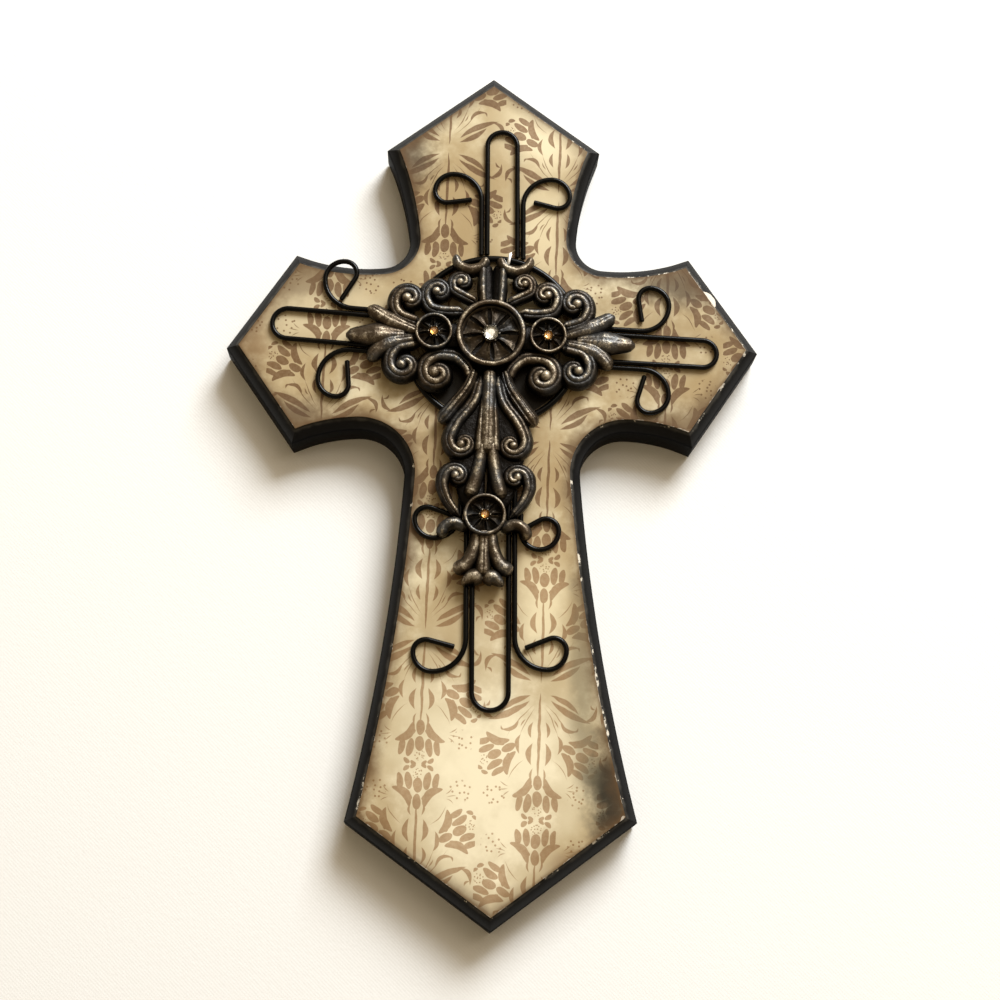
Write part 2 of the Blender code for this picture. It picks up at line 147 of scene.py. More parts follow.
class Bench:
    """One material under construction, with the few kinds of node that the finishes need."""

    def __init__(self, name: str) -> None:
        """Start an empty material of this name."""
        self.material = bpy.data.materials.new(name)
        self.material.use_nodes = True
        self.tree = self.material.node_tree
        self.tree.nodes.clear()

    def node(self, kind: str, settings: Mapping[str, object] | None = None,
             inputs: Mapping[str | int, object] | None = None) -> bpy.types.Node:
        """Add a node.

        Args:
            kind: The node's type.
            settings: Its own settings, set first.
            inputs: Values or links of its sockets, by name or number.

        Returns:
            The new node.
        """
        made = self.tree.nodes.new(kind)
        for name, value in (settings or {}).items():
            setattr(made, name, value)
        for name, value in (inputs or {}).items():
            source = value.socket if isinstance(value, Channel) else value
            if isinstance(source, Socket):
                self.tree.links.new(source, made.inputs[name])
            else:
                made.inputs[name].default_value = source
        return made

    def math(self, operation: str, *values: Channel | float, clamp: bool = False) -> Channel:
        """Add a Math node and give its result."""
        settings = {"operation": operation, "use_clamp": clamp}
        node = self.node("ShaderNodeMath", settings, dict(enumerate(values)))
        return Channel(self, node.outputs[0])

    def vector(self, operation: str, *values: object, scale: float | None = None) -> Socket:
        """Add a Vector Math node and give its vector."""
        inputs = dict(enumerate(values)) | ({"Scale": scale} if scale is not None else {})
        return self.node("ShaderNodeVectorMath", {"operation": operation}, inputs).outputs["Vector"]

    def dot(self, vector: Socket, way: Sequence[float]) -> Channel:
        """Measure a vector along a fixed direction."""
        node = self.node("ShaderNodeVectorMath", {"operation": "DOT_PRODUCT"}, {0: vector, 1: tuple(way)})
        return Channel(self, node.outputs["Value"])

    def length(self, vector: Socket) -> Channel:
        """Measure a vector's length."""
        node = self.node("ShaderNodeVectorMath", {"operation": "LENGTH"}, {0: vector})
        return Channel(self, node.outputs["Value"])

    def pair(self, first: Channel, second: Channel) -> Socket:
        """Join two channels into a flat vector."""
        return self.node("ShaderNodeCombineXYZ", None, {"X": first, "Y": second}).outputs["Vector"]

    def place(self) -> Socket:
        """Give the point on the object, in millimetres."""
        spot = self.node("ShaderNodeTexCoord").outputs["Object"]
        return self.vector("SCALE", spot, scale=1.0 / MM)

    def noise(self, spot: Socket, size: float, detail: float = 2.0, roughness: float = 0.5) -> Channel:
        """Add a cloudy noise.

        Args:
            spot: Where it is read, in millimetres.
            size: The size of its largest patches, in millimetres.
            detail: How many finer layers it has.
            roughness: How strong the finer layers are.

        Returns:
            A channel round 0.5.
        """
        node = self.node("ShaderNodeTexNoise", None,
                         {"Vector": spot, "Scale": 1.0 / size, "Detail": detail, "Roughness": roughness})
        return Channel(self, node.outputs[0])

    def attribute(self, name: str) -> Channel:
        """Read a value that the mesh carries."""
        return Channel(self, self.node("ShaderNodeAttribute", {"attribute_name": name}).outputs["Fac"])

    def mix(self, share: Channel | float, first: object, second: object) -> Socket:
        """Blend two colours.

        Args:
            share: How much of the second shows.
            first: A colour or a colour socket.
            second: A colour or a colour socket.

        Returns:
            The blended colour.
        """
        colours = [(*c, 1.0) if isinstance(c, tuple) else c for c in (first, second)]
        node = self.node("ShaderNodeMix", {"data_type": "RGBA"}, {0: share, 6: colours[0], 7: colours[1]})
        return node.outputs[2]

    def bump(self, height: Channel, distance: float, strength: float = 1.0) -> Socket:
        """Turn a height into a normal, its distance in millimetres."""
        node = self.node("ShaderNodeBump", None,
                         {"Strength": strength, "Distance": distance * MM, "Height": height})
        return node.outputs["Normal"]

    def finish(self, **inputs: object) -> Material:
        """Close the material with a Principled shader.

        Args:
            inputs: Its sockets by name, with _ for a space.

        Returns:
            The finished material.
        """
        named = {}
        for name, value in inputs.items():
            named[name.replace("_", " ")] = (*value, 1.0) if isinstance(value, tuple) else value
        shader = self.node("ShaderNodeBsdfPrincipled", None, named)
        self.node("ShaderNodeOutputMaterial", None, {"Surface": shader.outputs["BSDF"]})
        return self.material


# Finishes

@dataclass(frozen=True)
class BlackPaint:
    """Black paint on the board, rubbed through along the print."""

    coat: Colour = (0.0026, 0.0026, 0.0030)
    # Grey dust on the chamfer's front edge, which also serves as a painted sheen line along that edge.
    dust_and_sheen: Colour = (0.100, 0.093, 0.080)
    bare: Colour = (0.62, 0.57, 0.48)
    # Thin duller coat for the back, lighter than the front's black; the lift is partly painted light for a
    # side the lamps barely reach.
    thin: Colour = (0.050, 0.043, 0.037)
    roughness: float = 0.30
    scuff: tuple[float, float, float] = (76.5, -14.0, 19.0)
    scuff_reach: Point = (1.5, 4.5)
    chip_size: float = 1.7
    chip_field: float = 9.0
    chip_lean: tuple[float, float, float] = (0.0007, 0.0, -0.0002)
    chip_level: float = 0.67
    rub_size: float = 5.0
    back_cloud: float = 24.0
    peel_size: float = 1.1
    peel_depth: float = 0.08

    def make(self) -> Material:
        """Build the material."""
        bench = Bench("black_paint_worn")
        spot = bench.place()
        edge = bench.attribute("rim")
        crumble = bench.noise(spot, self.chip_size, 4.0, 0.65)
        where = bench.noise(spot, self.chip_field, 2.0) * 0.50 + bench.dot(spot, self.chip_lean)
        scuff = bench.length(bench.vector("SUBTRACT", spot, self.scuff)).fall(*self.scuff_reach)
        where = where + scuff * 0.85
        chips = (edge + crumble * 0.60 + where - self.chip_level).rise(0.98, 1.02)
        # Dust along the chamfer's front edge, partly real dust and partly a painted sheen line along the
        # edge.
        rub = (edge * 0.7 + bench.noise(spot, self.rub_size, 3.0) * 0.5).rise(0.78, 1.08)
        colour = bench.mix(rub * 0.6, self.coat, self.dust_and_sheen)
        colour = bench.mix(chips, colour, self.bare)
        # Cloudy thin coat on the back: partly thinner paint and partly a painted lift for the little light
        # that reaches the back.
        back = bench.dot(spot, (0.0, 1.0, 0.0)).rise(-0.8, -0.2)
        colour = bench.mix(back * (bench.noise(spot, self.back_cloud, 4.0) * 0.9 + 0.2), colour, self.thin)
        peel = bench.noise(spot, self.peel_size, 3.0)
        return bench.finish(
            Base_Color=colour,
            Roughness=0.55 + peel * 0.12 + (chips + back) * 0.2,
            Specular_IOR_Level=0.04,
            Coat_Weight=edge.rise(0.02, 0.2) * 0.30 * (1.0 - chips),
            Coat_Roughness=self.roughness,
            Normal=bench.bump(peel * 0.6 - chips, self.peel_depth, 0.5),
        )


@dataclass(frozen=True)
class Stroke:
    """One leaf, line or petal of the print, in millimetres. A full one has round ends, others are pointed."""

    start: Point
    end: Point
    bend: float
    width: float
    full: bool = False


@dataclass(frozen=True)
class Bloom:
    """One cut flower of the print: its dotted eye, the way it opens and its size."""

    eye: Point
    opens: float
    size: float


@dataclass(frozen=True)
class Stain:
    """A dark or light patch on the print: where, how wide, how strong and its colour."""

    middle: Point
    size: Point
    strength: float
    colour: Colour


@dataclass(frozen=True)
class AgedPrint:
    """Cream paper printed with a brown floral stencil, aged and varnished."""

    paper: Colour = (0.58, 0.495, 0.320)
    light: Colour = (0.74, 0.665, 0.475)
    tan: Colour = (0.38, 0.280, 0.145)
    ink: Colour = (0.54, 0.41, 0.33)
    deep_ink: Colour = (0.34, 0.24, 0.19)
    burnt: Colour = (0.105, 0.058, 0.025)
    rubbed: Colour = (0.50, 0.44, 0.36)
    column_pitch: float = 39.9
    row_pitch: float = 88.5
    lean: float = math.radians(2.14)
    first_column: float = -18.8
    first_row: float = 74.3
    column_drop: float = 17.0
    soft_edge: float = 0.16
    specks: Point = (2.0, 0.36)
    pips: Point = (0.95, 0.24)
    eye_reach: Point = (1.7, 2.0)
    spray: Point = (14.2, 36.0)
    spray_reach: Point = (3.4, 4.2)
    shake_size: float = 0.22
    shake: float = 0.9
    broad_size: float = 46.0
    cloud_size: float = 13.0
    grain_size: float = 0.9
    chip_size: float = 2.6
    leaves: tuple[Stroke, ...] = (
        Stroke((0.0, 1.5), (0.0, 31.0), 0.0, 1.15, True),
        Stroke((3.2, 2.4), (13.2, 8.4), -0.9, 2.1),
        Stroke((3.4, 4.0), (17.6, 11.2), 1.0, 2.4),
        Stroke((14.6, 10.8), (18.9, 5.0), 1.9, 1.7),
        Stroke((16.9, 4.6), (18.9, 6.6), 0.7, 0.9),
        Stroke((1.2, 5.0), (11.2, 17.4), -0.9, 0.46),
        Stroke((1.0, 6.0), (6.6, 17.0), -0.7, 0.46),
        Stroke((4.6, 10.4), (6.4, 13.4), -0.3, 0.6),
        Stroke((7.2, 11.2), (12.4, 14.2), 1.3, 1.5, True),
        Stroke((11.2, 14.4), (12.9, 12.6), 0.7, 0.8),
        Stroke((2.0, 11.2), (2.4, 17.0), -1.0, 1.4),
        Stroke((1.9, 18.4), (2.1, 26.2), -1.5, 2.0),
        Stroke((1.5, 27.0), (1.7, 31.6), -0.8, 0.9),
        Stroke((6.0, 15.6), (6.3, 22.4), -1.3, 1.6),
        Stroke((4.4, 24.0), (10.0, 31.4), -1.0, 0.46),
        Stroke((9.4, 33.2), (12.4, 31.4), 0.4, 0.46),
        Stroke((9.6, 33.8), (13.4, 34.4), 0.2, 0.46),
        Stroke((9.2, 34.6), (11.8, 37.0), -0.2, 0.46),
    )
    petals: tuple[Stroke, ...] = (
        Stroke((1.4, 0.0), (6.6, 0.0), 0.0, 3.5, True),
        Stroke((-0.5, 3.7), (5.6, 3.0), -0.2, 2.7, True),
        Stroke((-0.1, 6.6), (5.6, 5.9), -0.3, 2.4, True),
        Stroke((-2.6, 3.0), (-0.9, 5.0), 0.2, 1.7, True),
        Stroke((-3.0, 0.9), (-1.9, 2.7), 0.2, 1.4, True),
        Stroke((5.7, 5.6), (8.7, 1.7), 0.3, 2.5, True),
        Stroke((4.8, 8.5), (11.2, 2.3), -1.7, 3.0, True),
        Stroke((6.9, 0.0), (12.2, 0.0), 0.0, 3.0, True),
    )
    blooms: tuple[Bloom, Bloom] = (
        Bloom((0.0, 41.2), math.radians(-90), 0.98),
        Bloom((18.1, 24.6), math.radians(-152), 0.94),
    )
    pools: tuple[Stain, ...] = (
        Stain((-6.0, -40.0), (44.0, 34.0), 0.55, (0.35, 0.245, 0.120)),
        Stain((62.0, -4.0), (34.0, 28.0), 0.75, (0.34, 0.245, 0.120)),
        Stain((0.0, -148.0), (28.0, 40.0), 0.92, (0.84, 0.760, 0.555)),
        Stain((18.0, -92.0), (8.0, 28.0), 0.85, (0.74, 0.645, 0.430)),
        Stain((18.0, 80.0), (14.0, 15.0), 0.90, (0.76, 0.665, 0.455)),
        Stain((-62.0, 12.0), (24.0, 12.0), 0.75, (0.62, 0.530, 0.350)),
        Stain((16.0, 44.0), (12.0, 16.0), 0.80, (0.66, 0.560, 0.360)),
        Stain((-14.0, 50.0), (14.0, 22.0), 0.70, (0.36, 0.260, 0.130)),
        Stain((24.0, -70.0), (12.0, 12.0), 0.60, (0.40, 0.290, 0.145)),
        Stain((56.0, 10.0), (18.0, 10.0), 0.65, (0.33, 0.240, 0.120)),
    )
    stains: tuple[Stain, ...] = (
        Stain((42.0, -156.0), (10.0, 20.0), 0.98, (0.030, 0.026, 0.018)),
        Stain((-33.0, 72.0), (12.0, 10.0), 0.90, (0.060, 0.038, 0.022)),
        Stain((31.0, -118.0), (5.0, 42.0), 0.60, (0.17, 0.145, 0.09)),
        Stain((-86.0, 8.0), (10.0, 20.0), 0.60, (0.17, 0.090, 0.040)),
        Stain((66.0, 24.0), (20.0, 8.0), 0.80, (0.070, 0.048, 0.030)),
        Stain((-74.0, 24.0), (20.0, 7.0), 0.60, (0.12, 0.075, 0.040)),
        Stain((-72.0, -25.0), (18.0, 7.0), 0.75, (0.085, 0.052, 0.032)),
        Stain((70.0, -26.0), (18.0, 7.0), 0.60, (0.13, 0.085, 0.045)),
        Stain((-45.0, -144.0), (6.0, 34.0), 0.70, (0.21, 0.120, 0.045)),
        Stain((34.0, -178.0), (16.0, 6.0), 0.60, (0.22, 0.120, 0.045)),
        Stain((-30.0, -60.0), (6.0, 30.0), 0.60, (0.11, 0.075, 0.045)),
        Stain((30.0, -50.0), (5.0, 26.0), 0.50, (0.15, 0.110, 0.065)),
    )
    # Painted shade: near-black colour for the paper inside the lower half of the wire ring, under the
    # ornament.
    painted_shade: Colour = (0.012, 0.009, 0.006)
    painted_shade_middle: Point = (0.0, 1.9)
    painted_shade_reach: Point = (28.4, 29.6)
    painted_shade_top: Point = (-9.0, 4.0)

    def fold(self, bench: Bench, spot: Socket) -> Socket:
        """Fold the face into one quarter of the repeat.

        Args:
            bench: The material.
            spot: The point in millimetres.

        Returns:
            The distance from the column's stem and from the nearest leaf burst.
        """
        sine, cosine = math.sin(self.lean), math.cos(self.lean)
        across = bench.dot(spot, (cosine, 0.0, -sine)) - self.first_column
        up = bench.dot(spot, (sine, 0.0, cosine)) - self.first_row
        column = (across / self.column_pitch).math("ROUND")
        row = (up + abs(column) * self.column_drop) / self.row_pitch
        aside = abs(across - column * self.column_pitch)
        down = abs(row - row.math("ROUND")) * self.row_pitch
        return bench.pair(aside, down)

    def draw(self, bench: Bench, place: Socket, stroke: Stroke) -> Channel:
        """Draw a stroke.

        Args:
            bench: The material.
            place: The folded point.
            stroke: Its ends, bend and width.

        Returns:
            1 on the stroke and 0 off it.
        """
        start, run = Vector(stroke.start), Vector(stroke.end) - Vector(stroke.start)
        way = run.normalized()
        side = Vector((-way.y, way.x))
        share = bench.dot(place, (*(way / run.length), 0.0)) - start.dot(way) / run.length
        off = bench.dot(place, (*side, 0.0)) - start.dot(side)
        hump = share * (1.0 - share) * 4.0
        breadth = hump.most(0.0) ** 0.5 if stroke.full else hump
        inside = breadth * (stroke.width / 2) - abs(off - hump * stroke.bend)
        return inside.math("DIVIDE", self.soft_edge, clamp=True) * hump.math("GREATER_THAN", 0.0)

    def drawn(self, bench: Bench, place: Socket, strokes: Sequence[Stroke]) -> Channel:
        """Draw many strokes and keep the strongest at each point."""
        mask = self.draw(bench, place, strokes[0])
        for stroke in strokes[1:]:
            mask = mask.most(self.draw(bench, place, stroke))
        return mask

    @staticmethod
    def dots(bench: Bench, flat: Socket, apart: float, radius: float) -> Channel:
        """Scatter dots of a radius over the face, this far apart."""
        cells = bench.node("ShaderNodeTexVoronoi", {"voronoi_dimensions": "2D"},
                           {"Vector": flat, "Scale": 1.0 / apart, "Randomness": 0.8})
        return (Channel(bench, cells.outputs["Distance"]) * apart).fall(radius - 0.06, radius + 0.06)

    @staticmethod
    def beside(bench: Bench, place: Socket, bloom: Bloom) -> Socket:
        """Measure a point from a flower's eye, ahead and to either side, at the flower's size."""
        away = bench.vector("SUBTRACT", place, (*bloom.eye, 0.0))
        cosine, sine = math.cos(bloom.opens) / bloom.size, math.sin(bloom.opens) / bloom.size
        ahead = bench.dot(away, (cosine, sine, 0.0))
        aside = bench.dot(away, (-sine, cosine, 0.0))
        return bench.pair(ahead, abs(aside))

    def stencil(self, bench: Bench, spot: Socket) -> Channel:
        """Draw the whole print.

        Args:
            bench: The material.
            spot: The point in millimetres.

        Returns:
            How much ink there is.
        """
        place = self.fold(bench, self.waver(bench, spot))
        flat = bench.pair(bench.dot(spot, (1.0, 0.0, 0.0)), bench.dot(spot, (0.0, 0.0, 1.0)))
        specks, pips = self.dots(bench, flat, *self.specks), self.dots(bench, flat, *self.pips)
        first, second = (self.beside(bench, place, bloom) for bloom in self.blooms)
        nearer = bench.length(first).math("GREATER_THAN", bench.length(second))
        flower = bench.mix(nearer, first, second)
        eye = bench.length(flower)
        mask = self.drawn(bench, place, self.leaves).most(self.drawn(bench, flower, self.petals))
        mask = mask.most(pips * eye.fall(*self.eye_reach))
        spray = bench.length(bench.vector("SUBTRACT", place, (*self.spray, 0.0))).fall(*self.spray_reach)
        return mask.most(specks * spray)

    def waver(self, bench: Bench, spot: Socket) -> Socket:
        """Shake the point a little, as a hand-cut stencil does."""
        shake = bench.node("ShaderNodeTexNoise", None,
                           {"Vector": spot, "Scale": self.shake_size, "Detail": 1.0})
        middle = bench.vector("SUBTRACT", shake.outputs["Color"], (0.5, 0.5, 0.5))
        return bench.vector("ADD", spot, bench.vector("SCALE", middle, scale=self.shake))

    @staticmethod
    def stained(bench: Bench, spot: Socket, cloud: Channel, colour: Socket,
                stains: Sequence[Stain]) -> Socket:
        """Lay cloudy patches over a colour.

        Args:
            bench: The material.
            spot: The point in millimetres.
            cloud: The noise that frays the patches.
            colour: What they lie on.
            stains: The patches.

        Returns:
            The stained colour.
        """
        for stain in stains:
            off = bench.vector("SUBTRACT", spot, (stain.middle[0], 0.0, stain.middle[1]))
            off = bench.vector("MULTIPLY", off, (1 / stain.size[0], 0.0, 1 / stain.size[1]))
            patch = (bench.length(off) + (cloud - 0.5) * 2.2).fall(0.25, 1.45)
            colour = bench.mix(patch * stain.strength, colour, stain.colour)
        return colour

    def behind(self, bench: Bench, spot: Socket) -> Channel:
        """Give the painted shade: the paper inside the wire ring, below the middle of the ornament, darkened
        as if the ornament shaded it.
        """
        away = bench.vector("SUBTRACT", spot, (self.painted_shade_middle[0], 0.0, self.painted_shade_middle[1]))
        far = bench.length(bench.vector("MULTIPLY", away, (1.0, 0.0, 1.0)))
        return far.fall(*self.painted_shade_reach) * bench.dot(spot, (0.0, 0.0, 1.0)).fall(*self.painted_shade_top)

    def make(self) -> Material:
        """Build the material."""
        bench = Bench("aged_floral_print")
        spot = bench.place()
        broad = bench.noise(spot, self.broad_size, 3.0, 0.6)
        cloud = bench.noise(spot, self.cloud_size, 5.0, 0.62)
        grain = bench.noise(spot, self.grain_size, 3.0, 0.7)
        base = bench.mix((broad * 0.6 + cloud * 0.6).rise(0.42, 0.80), self.tan, self.paper)
        base = bench.mix((broad * 0.8 + cloud * 0.4).rise(0.55, 0.86) * 0.8, base, self.light)
        base = self.stained(bench, spot, cloud, base, self.pools)
        ink = self.stencil(bench, spot) * (grain * 0.5 + 0.66).least(0.98)
        upper = (bench.dot(spot, (0.0, 0.0, 1.0)) + (cloud - 0.5) * 80.0).rise(-110.0, -20.0)
        printed = bench.vector("MULTIPLY", base, bench.mix(upper, self.ink, self.deep_ink))
        colour = bench.mix(ink, base, printed)
        colour = self.stained(bench, spot, cloud, colour, self.stains)
        # Paint near-black shade onto the paper inside the lower half of the wire ring.
        colour = bench.mix(self.behind(bench, spot), colour, self.painted_shade)
        depth = bench.attribute("depth")
        ragged = depth + (cloud - 0.5) * 6.0 + (grain - 0.5) * 0.9
        scorch = ragged.fall(-0.6, 5.6) * (broad.rise(0.36, 0.62) * 0.50 + 0.26)
        colour = bench.mix(scorch, colour, self.burnt)
        colour = bench.mix((depth + (cloud - 0.5) * 1.6).fall(0.0, 1.5) * 0.62, colour, self.burnt)
        chip = bench.noise(spot, self.chip_size, 2.0) + broad * 0.3 + bench.dot(spot, (0.0008, 0.0, -0.0003))
        worn = (depth * 0.7 - chip).fall(-0.78, -0.73)
        colour = bench.mix(worn * 0.8, colour, self.rubbed)
        return bench.finish(
            Base_Color=colour,
            Roughness=0.34 + cloud * 0.16,
            Specular_IOR_Level=0.14,
            # Less varnish gloss where the shade is painted.
            Coat_Weight=0.14 * (1.0 - self.behind(bench, spot)),
            Coat_Roughness=0.18,
            Normal=bench.bump(cloud * 0.6 + grain * 0.25, 0.10, 0.35),
        )


@dataclass(frozen=True)
class BlackWire:
    """Semi-gloss black lacquer on the bent wire."""

    lacquer: Colour = (0.0010, 0.0010, 0.0011)
    rubbed: Colour = (0.0034, 0.0030, 0.0026)
    patch_size: float = 4.0
    lump_size: float = 0.7

    def make(self) -> Material:
        """Build the material."""
        bench = Bench("black_wire_lacquer")
        spot = bench.place()
        patches = bench.noise(spot, self.patch_size, 4.0, 0.6)
        return bench.finish(
            Base_Color=bench.mix(patches.rise(0.56, 0.74), self.lacquer, self.rubbed),
            Specular_IOR_Level=0.15,
            Roughness=0.12 + patches * 0.12,
            Normal=bench.bump(bench.noise(spot, self.lump_size, 2.0), 0.03, 0.4),
        )


@dataclass(frozen=True)
class AntiqueCasting:
    """Dark bronze that was rubbed with champagne on its ridges."""

    hollow: Colour = (0.0050, 0.0036, 0.0028)
    bronze: Colour = (0.092, 0.068, 0.045)
    steel: Colour = (0.080, 0.079, 0.078)
    champagne: Colour = (0.46, 0.390, 0.285)
    patch_size: float = 3.4
    brush_size: float = 0.55
    tone_size: float = 14.0
    lump_size: float = 1.7
    lump_depth: float = 0.50

    def make(self) -> Material:
        """Build the material."""
        bench = Bench("antique_casting")
        spot = bench.place()
        relief = bench.attribute("relief")
        patches = bench.noise(spot, self.patch_size, 4.0, 0.62)
        brush = bench.noise(spot, self.brush_size, 3.0, 0.65)
        tone = bench.noise(spot, self.tone_size, 2.0)
        body = (relief + (patches - 0.5) * 0.9).rise(0.20, 0.95)
        rub = (relief + (patches - 0.5) * 1.8 + (brush - 0.5) * 0.9).rise(0.86, 1.40)
        colour = bench.mix(body, self.hollow, bench.mix(tone.rise(0.42, 0.60), self.bronze, self.steel))
        colour = bench.mix(rub * 0.9, colour, self.champagne)
        lumps = bench.noise(spot, self.lump_size, 3.0, 0.6)
        return bench.finish(
            Base_Color=colour,
            Metallic=0.78 - rub * 0.20,
            Roughness=0.27 + patches * 0.20,
            Normal=bench.bump(lumps * 0.75 + brush * 0.25, self.lump_depth, 0.8),
        )


@dataclass(frozen=True)
class CutStone:
    """Clear or tinted crystal, the same all through."""

    name: str
    tint: Colour
    ior: float = 1.58
    roughness: float = 0.02

    def make(self) -> Material:
        """Build the material."""
        bench = Bench(self.name)
        return bench.finish(Base_Color=self.tint, Transmission_Weight=1.0, IOR=self.ior,
                            Roughness=self.roughness)


@dataclass(frozen=True)
class BrightMetal:
    """Plain bright metal: a stone's foil or the staple."""

    name: str
    metal: Colour
    roughness: float
    scratch_size: float = 0.5
    dulled: float = 0.7

    def make(self) -> Material:
        """Build the material."""
        bench = Bench(self.name)
        scratch = bench.noise(bench.place(), self.scratch_size, 3.0)
        dull = tuple(share * self.dulled for share in self.metal)
        return bench.finish(
            Base_Color=bench.mix(scratch * 0.3, self.metal, dull),
            Metallic=1.0,
            Roughness=self.roughness + scratch * 0.1,
        )


class Paints:
    """The finishes of the whole piece, each made once."""

    def __init__(self) -> None:
        """Make every material."""
        self.board = BlackPaint().make()
        self.print = AgedPrint().make()
        self.wire = BlackWire().make()
        self.casting = AntiqueCasting().make()
        self.clear = CutStone("clear_crystal", (0.96, 0.97, 0.98)).make()
        self.amber = CutStone("amber_crystal", (0.86, 0.70, 0.46)).make()
        self.silver = BrightMetal("silver_foil", (0.90, 0.90, 0.88), 0.08).make()
        self.gold = BrightMetal("gold_foil", (0.80, 0.72, 0.58), 0.12).make()
        self.steel = BrightMetal("bright_staple", (0.80, 0.80, 0.80), 0.22).make()


# Shaping

class Maker:
    """Turns finished meshes into pieces of the frame."""

    @staticmethod
    def piece(name: str, bm: Mesh, finishes: Sequence[Material], slot: str, *nodes: str,
              sharp: float = math.radians(35)) -> bpy.types.Object:
        """Make a piece that rides on the frame.

        Args:
            name: Its name.
            bm: Its mesh, freed here.
            finishes: Its materials.
            slot: The record's slot for its finish. Not used.
            nodes: The CAD nodes that it stands for.
            sharp: The angle over which an edge stays sharp.

        Returns:
            The piece.
        """
        bmesh.ops.recalc_face_normals(bm, faces=bm.faces)
        mesh = bpy.data.meshes.new(name)
        bm.to_mesh(mesh)
        bm.free()
        for finish in finishes:
            mesh.materials.append(finish)
        mesh.shade_smooth()
        mesh.set_sharp_from_angle(angle=sharp)
        made = bpy.data.objects.new(name, mesh)
        bpy.context.scene.collection.objects.link(made)
        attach(made, "root")
        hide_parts(*nodes)
        LOG.info("%s: %d faces", name, len(mesh.polygons))
        return made


@dataclass(frozen=True)
class Station:
    """One section of a sweep: its place, its heading in the X-Z plane, its half width and its height."""

    spot: Vector
    heading: float
    half: float
    high: float

    def matrix(self) -> Matrix:
        """Place a section drawn across X and up Y, so that up faces the front."""
        across = Vector((-math.sin(self.heading), 0.0, math.cos(self.heading))) * self.half
        front = Vector((0.0, -1.0, 0.0)) * self.high
        ahead = Vector((math.cos(self.heading), 0.0, math.sin(self.heading)))
        return Matrix.Translation(self.spot) @ Matrix((across, front, ahead)).transposed().to_4x4()


def draw_out(bm: Mesh, face: Face, move: Matrix) -> Face:
    """Extrude a face, move the new one and give it."""
    grown = bmesh.ops.extrude_face_region(bm, geom=[face])
    face = next(item for item in grown["geom"] if isinstance(item, Face))
    bmesh.ops.transform(bm, matrix=move, verts=face.verts)
    return face


def sweep(bm: Mesh, face: Face, places: Sequence[Matrix]) -> None:
    """Draw a section along its places, as one closed body.

    Args:
        bm: The mesh.
        face: The section, drawn round the origin.
        places: Where it goes, from end to end.
    """
    bmesh.ops.transform(bm, matrix=places[0], verts=face.verts)
    for before, after in pairwise(places):
        face = draw_out(bm, face, after @ before.inverted())


def arc(centre: Point, radius: float, start: float, end: float, steps: int) -> list[Point]:
    """Give points along an arc, both ends included."""
    turn = [start + (end - start) * k / steps for k in range(steps + 1)]
    return [(centre[0] + radius * math.cos(a), centre[1] + radius * math.sin(a)) for a in turn]


def loop(bm: Mesh, points: Sequence[Vector]) -> list[Edge]:
    """Join points into a closed ring of edges."""
    corners = [bm.verts.new(point) for point in points]
    return [bm.edges.new((a, b)) for a, b in zip(corners, corners[1:] + corners[:1])]


def turn_round(bm: Mesh, centre: Vector, profile: Sequence[Point], steps: int) -> list[Corner]:
    """Spin a closed profile round an axis along Y.

    Args:
        bm: The mesh.
        centre: The foot of the axis.
        profile: Radius and level of each corner, levels counted towards the front.
        steps: How many copies make the circle.

    Returns:
        The new corners.
    """
    known = set(bm.verts)
    edges = loop(bm, [centre + Vector((radius, -level, 0.0)) for radius, level in profile])
    corners = [corner for corner in bm.verts if corner not in known]
    bmesh.ops.spin(bm, geom=corners + edges, cent=centre, axis=(0.0, 1.0, 0.0), angle=math.tau, steps=steps,
                   use_merge=True)
    return [corner for corner in bm.verts if corner not in known]


def slit(bm: Mesh, spot: Point, across: Point) -> None:
    """Cut a flat sheet along a line through a point of the X-Z plane, square to a direction."""
    bmesh.ops.bisect_plane(bm, geom=bm.verts[:] + bm.edges[:] + bm.faces[:], plane_co=(spot[0], 0, spot[1]),
                           plane_no=(across[0], 0, across[1]))


# Sub-assemblies

